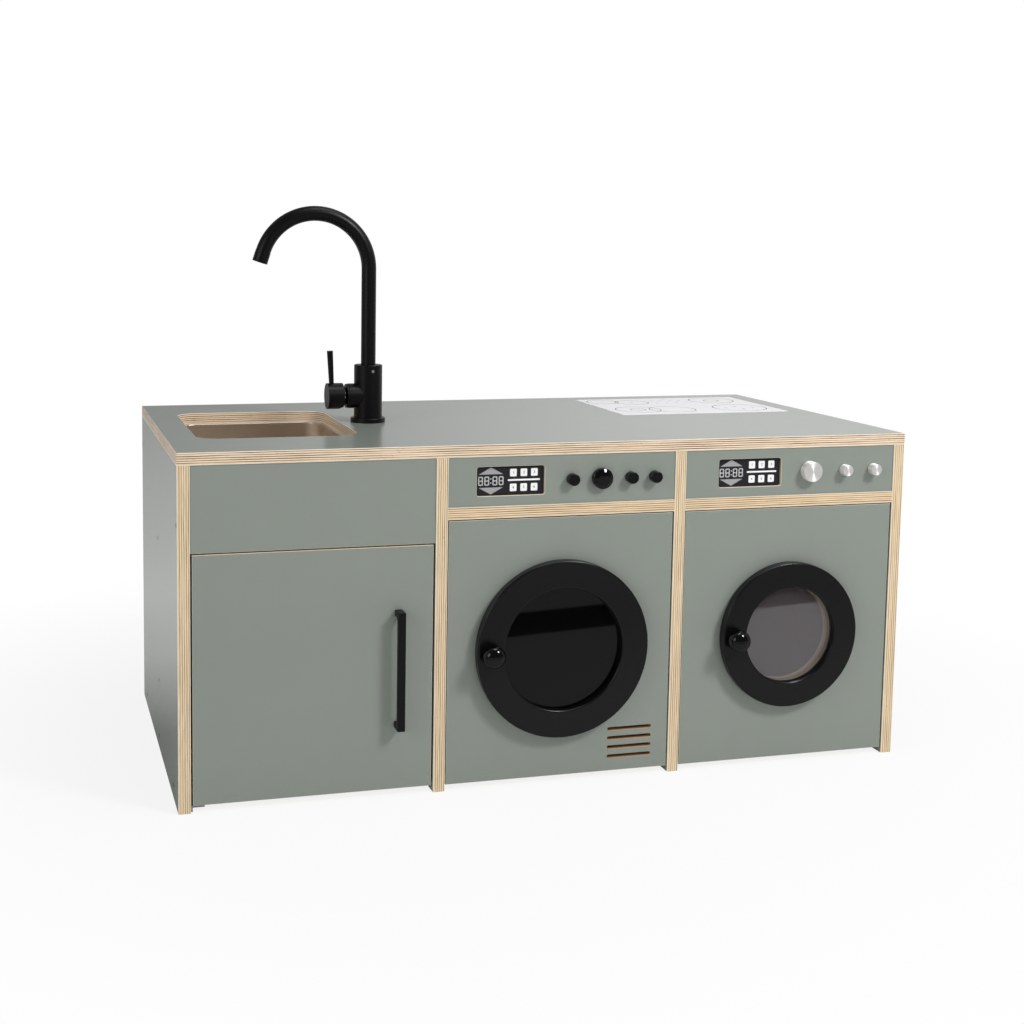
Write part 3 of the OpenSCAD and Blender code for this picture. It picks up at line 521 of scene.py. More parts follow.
def add_node(
    tree: bpy.types.NodeTree, kind: str, inputs: dict | None = None, stops: Sequence = (), **settings: object
) -> bpy.types.Node:
    """Adds a node with its settings and links.

    Args:
        tree: The tree that gets the node.
        kind: The node's type.
        inputs: A value or another node's output for each input, by name or number.
        stops: For a colour ramp, each stop's place and colour.
        settings: The node's other settings.

    Returns:
        The new node.
    """
    node = tree.nodes.new(kind)
    for name, value in settings.items():
        setattr(node, name, value)
    for key, value in (inputs or {}).items():
        if isinstance(value, bpy.types.NodeSocket):
            tree.links.new(value, node.inputs[key])
        else:
            node.inputs[key].default_value = value
    for k, (place, colour) in enumerate(stops):
        ramp = node.color_ramp.elements
        stop = ramp[k] if k < 2 else ramp.new(place)
        stop.position = place
        stop.color = colour
    return node


def linear(colour: str) -> tuple[float, float, float, float]:
    """Turns an sRGB hex colour into a linear one."""
    parts = [int(colour[k : k + 2], 16) / 255 for k in (0, 2, 4)]
    return (*[c / 12.92 if c <= 0.04045 else ((c + 0.055) / 1.055) ** 2.4 for c in parts], 1.0)


MADE: dict[str, bpy.types.Material] = {}


@dataclass(frozen=True)
class Finish:
    """What every finish has: a name, a colour and a gloss. A kind of finish adds its own pattern."""

    name: str
    colour: str
    roughness: float

    def material(self) -> bpy.types.Material:
        """Gives the finish's material, made on its first use.

        Returns:
            The material, the same one each time.
        """
        if self.name in MADE:
            return MADE[self.name]
        material = bpy.data.materials.new(self.name)
        MADE[self.name] = material
        material.use_nodes = True
        tree = material.node_tree
        shader = tree.nodes["Principled BSDF"]
        shader.inputs["Base Color"].default_value = linear(self.colour)
        shader.inputs["Roughness"].default_value = self.roughness
        self.dress(tree, shader)
        return material

    def dress(self, tree: bpy.types.NodeTree, shader: bpy.types.Node) -> None:
        """Adds what is special to the finish. The plain one adds nothing.

        Args:
            tree: The material's tree.
            shader: The material's shader.
        """

    def grain(
        self,
        tree: bpy.types.NodeTree,
        size: Sequence[float],
        detail: float,
        along: bpy.types.NodeSocket | None = None,
    ) -> bpy.types.NodeSocket:
        """Gives a random pattern from 0 to 1 whose marks have a real size.

        Args:
            tree: The material's tree.
            size: The marks' size along each axis, in millimetres, or in units of the place it follows.
            detail: How many finer layers the pattern has.
            along: The place that it follows, or none for Object coordinates.

        Returns:
            The pattern.
        """
        unit = 1.0
        if along is None:
            along = add_node(tree, "ShaderNodeTexCoord").outputs["Object"]
            unit = 1000.0
        scale = [unit / s for s in size]
        sized = add_node(tree, "ShaderNodeVectorMath", {0: along, 1: scale}, operation="MULTIPLY")
        settings = {"Vector": sized.outputs["Vector"], "Scale": 1.0, "Detail": detail}
        return add_node(tree, "ShaderNodeTexNoise", settings).outputs["Fac"]

    def mark(
        self,
        tree: bpy.types.NodeTree,
        shader: bpy.types.Node,
        pattern: bpy.types.NodeSocket,
        spread: float = 0.0,
        gloss: tuple[float, float] | None = None,
        relief: float = 0.0,
        height: float = 0.0002,
    ) -> None:
        """Lets a pattern change the surface's colour, gloss and relief.

        Args:
            tree: The material's tree.
            shader: The material's shader.
            pattern: The pattern, from 0 to 1.
            spread: By what share the colour gets darker and lighter.
            gloss: The roughness at the pattern's 0 and 1, or none where it stays even.
            relief: The bump's strength.
            height: The bump's height, in metres.
        """
        if spread:
            share = add_node(
                tree, "ShaderNodeMapRange", {"Value": pattern, "To Min": 1 - spread, "To Max": 1 + spread}
            ).outputs[0]
            colour = add_node(
                tree,
                "ShaderNodeMix",
                {0: 1.0, 6: linear(self.colour), 7: share},
                data_type="RGBA",
                blend_type="MULTIPLY",
            ).outputs[2]
            tree.links.new(colour, shader.inputs["Base Color"])
        if gloss:
            rough = add_node(
                tree, "ShaderNodeMapRange", {"Value": pattern, "To Min": gloss[0], "To Max": gloss[1]}
            ).outputs[0]
            tree.links.new(rough, shader.inputs["Roughness"])
        if relief:
            settings = {"Strength": relief, "Distance": height, "Height": pattern}
            bump = add_node(tree, "ShaderNodeBump", settings)
            tree.links.new(bump.outputs["Normal"], shader.inputs["Normal"])


@dataclass(frozen=True)
class SheetLaminate(Finish):
    """High-pressure laminate from a textured press plate: even and matt, with a soft grain in its sheen.

    The pressed texture is drawn at 0.9 mm, about three times the real one, so that it shows.
    """

    pebble: float = 0.9
    cloud: float = 60.0
    spread: float = 0.02
    play: float = 0.03
    relief: float = 0.08

    def dress(self, tree: bpy.types.NodeTree, shader: bpy.types.Node) -> None:
        """Adds the pressed texture and a faint unevenness of colour.

        Args:
            tree: The material's tree.
            shader: The material's shader.
        """
        self.mark(tree, shader, self.grain(tree, [self.cloud] * 3, 3.0), spread=self.spread)
        gloss = (self.roughness - self.play, self.roughness + self.play)
        self.mark(tree, shader, self.grain(tree, [self.pebble] * 3, 2.0), gloss=gloss, relief=self.relief)


@dataclass(frozen=True)
class PlyEdge(Finish):
    """Birch plywood's sawn, sanded edge: pale plies, thin brown glue lines, dark streaks and small knots.

    Plies along and across the edge look pale and dark in turn. A pair is drawn 3.4 mm thick, as in the photo.
    """

    line: str = "8f705c"
    skin: str = "efe6d4"
    knot: str = "a86f42"
    pitch: float = 3.4
    skin_t: float = 0.75
    line_share: float = 0.34
    knot_share: float = 0.66
    relief: float = 0.25
    wave: tuple[float, float, float] = (90.0, 90.0, math.inf)
    fading: tuple[float, float, float] = (130.0, 130.0, 2.6)
    streak: tuple[float, float, float] = (38.0, 38.0, 0.7)
    spot: tuple[float, float, float] = (9.0, 9.0, 1.2)

    def glue_lines(
        self, tree: bpy.types.NodeTree, ply: bpy.types.NodeSocket, depth: bpy.types.NodeSocket
    ) -> bpy.types.NodeSocket:
        """Draws the dark lines, slightly waved and stronger in some places.

        Args:
            tree: The material's tree.
            ply: The place on the board, in millimetres.
            depth: The depth in the board, in millimetres.

        Returns:
            How dark the lines are, from 0 to 1.
        """
        wander = self.grain(tree, self.wave, 1.0, ply)
        wave = add_node(
            tree, "ShaderNodeMapRange", {"Value": wander, "To Min": -0.5, "To Max": 0.5}
        ).outputs[0]
        bent = add_node(tree, "ShaderNodeMath", {0: depth, 1: wave}, operation="ADD").outputs[0]
        inner = add_node(tree, "ShaderNodeMath", {0: bent, 1: self.skin_t}, operation="SUBTRACT").outputs[0]
        turns = add_node(tree, "ShaderNodeMath", {0: inner, 1: self.pitch}, operation="DIVIDE").outputs[0]
        phase = add_node(tree, "ShaderNodeMath", {0: turns}, operation="FRACT").outputs[0]
        start = 1 - self.line_share
        none, full = (0.0, 0.0, 0.0, 1.0), (1.0, 1.0, 1.0, 1.0)
        lines = add_node(
            tree,
            "ShaderNodeValToRGB",
            {"Fac": phase},
            stops=((0.0, none), (1.0, none), (start - 0.06, none), (start + 0.02, full), (0.95, full)),
        ).outputs["Color"]
        fading = self.grain(tree, self.fading, 3.0, ply)
        strength = add_node(
            tree,
            "ShaderNodeMapRange",
            {"Value": fading, "From Min": 0.36, "From Max": 0.58, "To Min": 0.4, "To Max": 1.0},
        ).outputs[0]
        return add_node(tree, "ShaderNodeMath", {0: lines, 1: strength}, operation="MULTIPLY").outputs[0]

    def dress(self, tree: bpy.types.NodeTree, shader: bpy.types.Node) -> None:
        """Draws the plies from the attribute that gives each point's depth in its board.

        Args:
            tree: The material's tree.
            shader: The material's shader.
        """
        ply = add_node(tree, "ShaderNodeAttribute", attribute_name="ply").outputs["Vector"]
        depth = add_node(tree, "ShaderNodeSeparateXYZ", {0: ply}).outputs["Z"]
        shown = self.glue_lines(tree, ply, depth)
        plies = add_node(
            tree, "ShaderNodeMix", {0: shown, 6: linear(self.colour), 7: linear(self.line)}, data_type="RGBA"
        ).outputs[2]
        streak = self.grain(tree, self.streak, 4.0, ply)
        streaks = add_node(
            tree,
            "ShaderNodeMapRange",
            {"Value": streak, "From Min": 0.3, "From Max": 0.7, "To Min": 0.74, "To Max": 1.12},
        ).outputs[0]
        grained = add_node(
            tree, "ShaderNodeMix", {0: 1.0, 6: plies, 7: streaks}, data_type="RGBA", blend_type="MULTIPLY"
        ).outputs[2]
        spot = self.grain(tree, self.spot, 2.0, ply)
        spots = add_node(
            tree,
            "ShaderNodeMapRange",
            {"Value": spot, "From Min": self.knot_share, "From Max": self.knot_share + 0.06, "To Max": 0.8},
        ).outputs[0]
        knotted = add_node(
            tree, "ShaderNodeMix", {0: spots, 6: grained, 7: linear(self.knot)}, data_type="RGBA"
        ).outputs[2]
        middle = add_node(tree, "ShaderNodeMath", {0: depth, 1: BOARD_T / 2}, operation="SUBTRACT").outputs[0]
        off = add_node(tree, "ShaderNodeMath", {0: middle}, operation="ABSOLUTE").outputs[0]
        at_face = add_node(
            tree, "ShaderNodeMath", {0: off, 1: BOARD_T / 2 - self.skin_t}, operation="GREATER_THAN"
        ).outputs[0]
        colour = add_node(
            tree, "ShaderNodeMix", {0: at_face, 6: knotted, 7: linear(self.skin)}, data_type="RGBA"
        ).outputs[2]
        tree.links.new(colour, shader.inputs["Base Color"])
        self.mark(tree, shader, streaks, relief=self.relief)


@dataclass(frozen=True)
class SawnBirch(Finish):
    """Solid birch, planed: pale and long-grained."""

    fibre: tuple[float, float, float] = (2.0, 2.0, 60.0)

    def dress(self, tree: bpy.types.NodeTree, shader: bpy.types.Node) -> None:
        """Adds the grain along the piece.

        Args:
            tree: The material's tree.
            shader: The material's shader.
        """
        self.mark(tree, shader, self.grain(tree, self.fibre, 4.0), spread=0.18, relief=0.2)


@dataclass(frozen=True)
class Coated(Finish):
    """Paint, powder coat or moulded plastic: an even skin whose fine unevenness softens its reflections."""

    peel: float = 1.2
    depth: float = 0.05
    ior: float = 1.5

    def dress(self, tree: bpy.types.NodeTree, shader: bpy.types.Node) -> None:
        """Adds the skin's unevenness.

        Args:
            tree: The material's tree.
            shader: The material's shader.
        """
        shader.inputs["IOR"].default_value = self.ior
        gloss = (self.roughness * 0.9, self.roughness * 1.1)
        skin = self.grain(tree, [self.peel] * 3, 2.0)
        self.mark(tree, shader, skin, spread=0.05, gloss=gloss, relief=self.depth)


@dataclass(frozen=True)
class TurnedAlloy(Finish):
    """Aluminium turned on a lathe: bright, with fine rings that stretch each highlight across them.

    The rings are drawn 0.22 mm wide, about twice the real ones, so that they show.
    """

    groove: float = 0.22
    streaks: float = 6.0
    metallic: float = 0.7
    anisotropic: float = 0.85
    quarter_turn: float = 0.25

    def dress(self, tree: bpy.types.NodeTree, shader: bpy.types.Node) -> None:
        """Adds the lathe's rings from the turned piece's own UV map, whose second part counts 100 mm.

        Args:
            tree: The material's tree.
            shader: The material's shader.
        """
        shader.inputs["Metallic"].default_value = self.metallic
        shader.inputs["Anisotropic"].default_value = self.anisotropic
        shader.inputs["Anisotropic Rotation"].default_value = self.quarter_turn
        uv = add_node(tree, "ShaderNodeUVMap", uv_map="turned").outputs["UV"]
        rings = self.grain(tree, (1 / self.streaks, self.groove / 100, math.inf), 2.0, uv)
        self.mark(tree, shader, rings, spread=0.12, relief=0.12, height=0.0001)
        tangent = add_node(tree, "ShaderNodeTangent", direction_type="UV_MAP", uv_map="turned")
        tree.links.new(tangent.outputs[0], shader.inputs["Tangent"])


@dataclass(frozen=True)
class BrushedSteel(Finish):
    """Stainless or zinc-plated steel, brushed one way: grey metal whose fine lines blur what it mirrors.

    The lines are drawn 0.6 to 0.9 mm wide, several times the real ones, so that they show.
    """

    brush: tuple[float, float, float] = (0.8, 40.0, 0.8)
    anisotropic: float = 0.4

    def dress(self, tree: bpy.types.NodeTree, shader: bpy.types.Node) -> None:
        """Adds the brush's lines.

        Args:
            tree: The material's tree.
            shader: The material's shader.
        """
        shader.inputs["Metallic"].default_value = 1.0
        shader.inputs["Anisotropic"].default_value = self.anisotropic
        gloss = (self.roughness * 0.85, self.roughness * 1.15)
        lines = self.grain(tree, self.brush, 3.0)
        self.mark(tree, shader, lines, spread=0.08, gloss=gloss, relief=0.06, height=0.0001)


@dataclass(frozen=True)
class AcrylicSheet(Finish):
    """Cast acrylic: polished, clear or smoked, with a faint haze of fine wiping marks."""

    alpha: float = 1.0
    ior: float = 1.49
    wiping: tuple[float, float, float] = (25.0, 25.0, 6.0)

    def dress(self, tree: bpy.types.NodeTree, shader: bpy.types.Node) -> None:
        """Sets how far it is seen through, and adds the wiping marks.

        Args:
            tree: The material's tree.
            shader: The material's shader.
        """
        shader.inputs["Alpha"].default_value = self.alpha
        shader.inputs["IOR"].default_value = self.ior
        gloss = (self.roughness * 0.7, self.roughness * 1.4)
        self.mark(tree, shader, self.grain(tree, self.wiping, 4.0), gloss=gloss)


# High-pressure laminate in sage green gives an even, matt face.
SAGE = SheetLaminate("sage_laminate", "899088", 0.24)
# The worktop's edge is crosscut birch ply and shows clear brown lines.
WORKTOP_EDGE = PlyEdge("birch_ply_edge", "f4dcbe", 0.4, line="3f281f")
# The uprights' edges run with the grain, so they are paler and yellower, and their lines are finer.
UPRIGHT_EDGE = PlyEdge(
    "birch_ply_edge_pale", "ecd5b2", 0.45, line="94764f", knot="b98850", line_share=0.32, knot_share=0.7
)
# The control shelves' edges have long grain with few knots.
RAIL_EDGE = PlyEdge(
    "birch_ply_edge_long", "eed4ae", 0.45, line="6b4c33", knot="b07f4c", line_share=0.32, knot_share=0.7
)
# A narrow slot's walls are painted a darker brown than the other edges, with no pale face layer, as painted
# shade inside the slot, and stay rough.
SLOT_SHADE_EDGE = PlyEdge("birch_ply_edge_slot_painted_shade", "bd9a72", 0.8, line="5f452f", skin="bd9a72", knot="6e4a2c")
# Planed birch battens are pale and even.
BIRCH = SawnBirch("planed_birch", "d8bf98", 0.6)
# Sprayed satin lacquer on the door rings is near black, with soft bright edges.
RING_LACQUER = Coated("satin_black_lacquer", "0b0b0d", 0.24, peel=2.0, depth=0.03, ior=1.4)
# Polished moulded plastic gives a deep black with small sharp highlights.
GLOSS_BLACK = Coated("gloss_black_plastic", "040405", 0.08, peel=6.0, depth=0.01, ior=1.42)
# Moulded plastic with a fine spark-eroded texture is a dull black.
SATIN_BLACK = Coated("satin_black_plastic", "060707", 0.3, peel=0.5, depth=0.05, ior=1.36)
# Powder coat on the bar handle is a dense matt black.
HANDLE_BLACK = Coated("powder_coated_steel", "0c0c0d", 0.4, peel=0.7, depth=0.1, ior=1.33)
# The tap's brass has a smooth satin black coat.
TAP_BLACK = Coated("satin_black_brass", "050506", 0.36, peel=6.0, depth=0.008, ior=1.33)
# The black tap's screw is bare steel, one bright speck on the body.
GRUB_STEEL = BrushedSteel("bright_steel_screw", "c9c9cc", 0.25)
# Turned aluminium gives bright wedges on a satin grey. At 0.7 metallic it is as bright as in the photo.
ALLOY = TurnedAlloy("turned_aluminium", "fdfbf8", 0.48)
# The basin's brushed stainless steel gives soft greys down its walls. Its warm tint is painted reflection of
# the plywood round the opening.
BASIN = BrushedSteel("brushed_stainless", "d8ccbe", 0.36, brush=(0.9, 60.0, 0.9))
# Zinc plate on screws, hinges and magnets is a dull blue-grey.
ZINC = BrushedSteel("zinc_plate", "b4b6ba", 0.36, brush=(0.6, 8.0, 0.6))
# Blackened steel makes the outer sides' screws small dark dots with a dull sheen.
DARK_SCREW = BrushedSteel("blackened_steel_screw", "2a2826", 0.5, brush=(0.6, 8.0, 0.6))
# The bore round a sunk screw head is painted near black, as painted shade inside the recess.
BORE_SHADE_EDGE = PlyEdge("birch_ply_edge_bore_painted_shade", "45331f", 0.85, line="2b1f14", skin="45331f", knot="2b1f14")
# The dryer's window is black cast acrylic, a dark mirror.
DARK_SHEET = AcrylicSheet("black_cast_acrylic", "030304", 0.03, ior=1.38)
# The washer's window is clear cast acrylic with a faint grey haze. Its IOR stands far above the real 1.49,
# because the alpha that lets it be seen through also thins what it mirrors.
CLEAR_SHEET = AcrylicSheet("clear_cast_acrylic", "6c6266", 0.03, alpha=0.3, ior=3.9)
# The hob is a white printed panel with a satin face.
HOB_WHITE = Coated("white_printed_panel", "f3f3f6", 0.35, peel=3.0, depth=0.02)
# Screen-printed grey ink draws thin, even, matt lines on the hob.
HOB_INK = Coated("grey_print_ink", "4c4b4f", 0.5, peel=0.8, depth=0.02)
# The display's printed panel is an even charcoal, matter than the black parts.
DISPLAY_DARK = Coated("dark_printed_panel", "25252a", 0.35, peel=3.0, depth=0.02, ior=1.3)
# The display's grey and white inks are flat and matt, and stand out from the dark panel.
DISPLAY_GREY = Coated("pale_grey_print_ink", "a2a2a4", 0.5, peel=0.8, depth=0.02)
DISPLAY_WHITE = Coated("white_print_ink", "f2f2f2", 0.5, peel=0.8, depth=0.02)
# The catch's moulded plastic is a warm white with a soft sheen.
WHITE_PLASTIC = Coated("moulded_white_plastic", "e6e4de", 0.4, peel=1.0, depth=0.05)


# Geometry Nodes


class Growth:
    """A Geometry Nodes tree that is built here, run once on an object and turned into a plain mesh."""

    def __init__(self, name: str, sizes: Sequence[str], shape: bool = False) -> None:
        """Starts a tree with its named inputs.

        Args:
            name: The tree's name.
            sizes: The names of its number inputs.
            shape: Whether it has an input for the object that it repeats.
        """
        self.tree = bpy.data.node_groups.new(name, "GeometryNodeTree")
        face = self.tree.interface
        face.new_socket("Geometry", in_out="INPUT", socket_type="NodeSocketGeometry")
        for size in sizes:
            face.new_socket(size, in_out="INPUT", socket_type="NodeSocketFloat")
        if shape:
            face.new_socket("Shape", in_out="INPUT", socket_type="NodeSocketObject")
        face.new_socket("Material", in_out="INPUT", socket_type="NodeSocketMaterial")
        face.new_socket("Geometry", in_out="OUTPUT", socket_type="NodeSocketGeometry")
        self.given = self.tree.nodes.new("NodeGroupInput").outputs

    def end(self, geometry: bpy.types.NodeSocket) -> None:
        """Closes the tree with real geometry, its material and the output.

        Args:
            geometry: What the tree has built.
        """
        real = add_node(self.tree, "GeometryNodeRealizeInstances", {"Geometry": geometry}).outputs[0]
        dressed = add_node(
            self.tree, "GeometryNodeSetMaterial", {"Geometry": real, "Material": self.given["Material"]}
        ).outputs[0]
        out = self.tree.nodes.new("NodeGroupOutput")
        self.tree.links.new(dressed, out.inputs[0])

    def run(self, points: bpy.types.Mesh, values: dict) -> bpy.types.Mesh:
        """Runs the tree.

        Args:
            points: The mesh that the tree starts from.
            values: Each named input's value.

        Returns:
            A plain mesh, in the same frame as the points.
        """
        carrier = placed("carrier", points)
        modifier = carrier.modifiers.new("growth", "NODES")
        modifier.node_group = self.tree
        for item in self.tree.interface.items_tree:
            if item.in_out == "INPUT" and item.name in values:
                modifier[item.identifier] = values[item.name]
        mesh = applied(carrier)
        carrier.modifiers.remove(modifier)
        bpy.data.objects.remove(carrier)
        return mesh


class Repeats(Growth):
    """Repeats a shape on points, each turned by the point's own three angles and sized by its own scale."""

    def __init__(self) -> None:
        """Builds the tree."""
        super().__init__("repeat_shape_on_points", ["Scale"], shape=True)
        tree = self.tree
        shape = add_node(tree, "GeometryNodeObjectInfo", {"Object": self.given["Shape"]}).outputs["Geometry"]
        turned = add_node(
            tree, "GeometryNodeInputNamedAttribute", {"Name": "turned"}, data_type="FLOAT_VECTOR"
        ).outputs["Attribute"]
        rotation = add_node(tree, "FunctionNodeEulerToRotation", {0: turned}).outputs[0]
        sized = add_node(
            tree, "GeometryNodeInputNamedAttribute", {"Name": "sized"}, data_type="FLOAT_VECTOR"
        ).outputs["Attribute"]
        scale = add_node(
            tree, "ShaderNodeVectorMath", {0: sized, "Scale": self.given["Scale"]}, operation="SCALE"
        ).outputs["Vector"]
        stamped = add_node(
            tree,
            "GeometryNodeInstanceOnPoints",
            {"Points": self.given["Geometry"], "Instance": shape, "Rotation": rotation, "Scale": scale},
        ).outputs[0]
        self.end(stamped)

    def on(
        self,
        shape: bpy.types.Mesh,
        places: Sequence[tuple[Sequence[float], Sequence[float], Sequence[float]]],
        finish: Finish,
    ) -> bpy.types.Mesh:
        """Repeats a shape.

        Args:
            shape: The shape's mesh, about the origin, in metres.
            places: Each copy's place in the bench's frame, its three angles and its scale.
            finish: The copies' finish.

        Returns:
            One mesh of all copies, in the row's frame.
        """
        points = bpy.data.meshes.new("points")
        points.from_pydata([row(p) for p, _, _ in places], [], [])
        for name, index in (("turned", 1), ("sized", 2)):
            layer = points.attributes.new(name, "FLOAT_VECTOR", "POINT")
            layer.data.foreach_set("vector", [float(x) for place in places for x in place[index]])
        source = placed("shape", shape)
        mesh = self.run(points, {"Scale": 1.0, "Shape": source, "Material": finish.material()})
        bpy.data.objects.remove(source)
        return shaded(mesh, 35)


class BentTube(Growth):
    """A round tube that rises straight and then bends over in one arc towards -X."""

    def __init__(self) -> None:
        """Builds the tree."""
        super().__init__("straight_then_bent_tube", ["Rise", "Bend Radius", "Angle", "Tube Radius", "Points"])
        tree, given = self.tree, self.given
        rise, bend = given["Rise"], given["Bend Radius"]
        arc = add_node(tree, "ShaderNodeMath", {0: given["Angle"], 1: bend}, operation="MULTIPLY").outputs[0]
        whole = add_node(tree, "ShaderNodeMath", {0: rise, 1: arc}, operation="ADD").outputs[0]
        line = add_node(tree, "GeometryNodeCurvePrimitiveLine", {"End": (0, 0, 1)}).outputs[0]
        fine = add_node(
            tree, "GeometryNodeResampleCurve", {"Curve": line, "Count": given["Points"]}
        ).outputs[0]
        share = add_node(tree, "GeometryNodeSplineParameter").outputs["Factor"]
        length = add_node(tree, "ShaderNodeMath", {0: share, 1: whole}, operation="MULTIPLY").outputs[0]
        over = add_node(tree, "ShaderNodeMath", {0: length, 1: rise}, operation="SUBTRACT").outputs[0]
        past = add_node(tree, "ShaderNodeMath", {0: over, 1: 0.0}, operation="MAXIMUM").outputs[0]
        turn = add_node(tree, "ShaderNodeMath", {0: past, 1: bend}, operation="DIVIDE").outputs[0]
        level = add_node(tree, "ShaderNodeMath", {0: turn}, operation="COSINE").outputs[0]
        back = add_node(tree, "ShaderNodeMath", {0: level, 1: 1.0}, operation="SUBTRACT").outputs[0]
        x = add_node(tree, "ShaderNodeMath", {0: back, 1: bend}, operation="MULTIPLY").outputs[0]
        steep = add_node(tree, "ShaderNodeMath", {0: turn}, operation="SINE").outputs[0]
        lift = add_node(tree, "ShaderNodeMath", {0: steep, 1: bend}, operation="MULTIPLY").outputs[0]
        straight = add_node(tree, "ShaderNodeMath", {0: length, 1: rise}, operation="MINIMUM").outputs[0]
        z = add_node(tree, "ShaderNodeMath", {0: straight, 1: lift}, operation="ADD").outputs[0]
        place = add_node(tree, "ShaderNodeCombineXYZ", {"X": x, "Z": z}).outputs[0]
        route = add_node(
            tree, "GeometryNodeSetPosition", {"Geometry": fine, "Position": place}
        ).outputs[0]
        section = add_node(
            tree, "GeometryNodeCurvePrimitiveCircle", {"Resolution": 48, "Radius": given["Tube Radius"]}
        ).outputs[0]
        tube = add_node(
            tree, "GeometryNodeCurveToMesh", {"Curve": route, "Profile Curve": section, "Fill Caps": True}
        ).outputs[0]
        self.end(add_node(tree, "GeometryNodeSetShadeSmooth", {"Geometry": tube}).outputs[0])


class PrintedRings(Growth):
    """Thin printed rings, one on each point, with the point's own radius and one width of line."""

    def __init__(self) -> None:
        """Builds the tree."""
        super().__init__("printed_rings", ["Line Width", "Ink Height"])
        tree, given = self.tree, self.given
        ring = add_node(
            tree, "GeometryNodeCurvePrimitiveCircle", {"Resolution": 64, "Radius": 1.0}
        ).outputs[0]
        radius = add_node(
            tree, "GeometryNodeInputNamedAttribute", {"Name": "radius"}, data_type="FLOAT"
        ).outputs["Attribute"]
        rings = add_node(
            tree,
            "GeometryNodeInstanceOnPoints",
            {"Points": given["Geometry"], "Instance": ring, "Scale": radius},
        ).outputs[0]
        real = add_node(tree, "GeometryNodeRealizeInstances", {"Geometry": rings}).outputs[0]
        band = add_node(
            tree,
            "GeometryNodeCurvePrimitiveQuadrilateral",
            {"Width": given["Line Width"], "Height": given["Ink Height"]},
        ).outputs[0]
        mesh = add_node(
            tree, "GeometryNodeCurveToMesh", {"Curve": real, "Profile Curve": band}
        ).outputs[0]
        self.end(mesh)


# Sub-assemblies


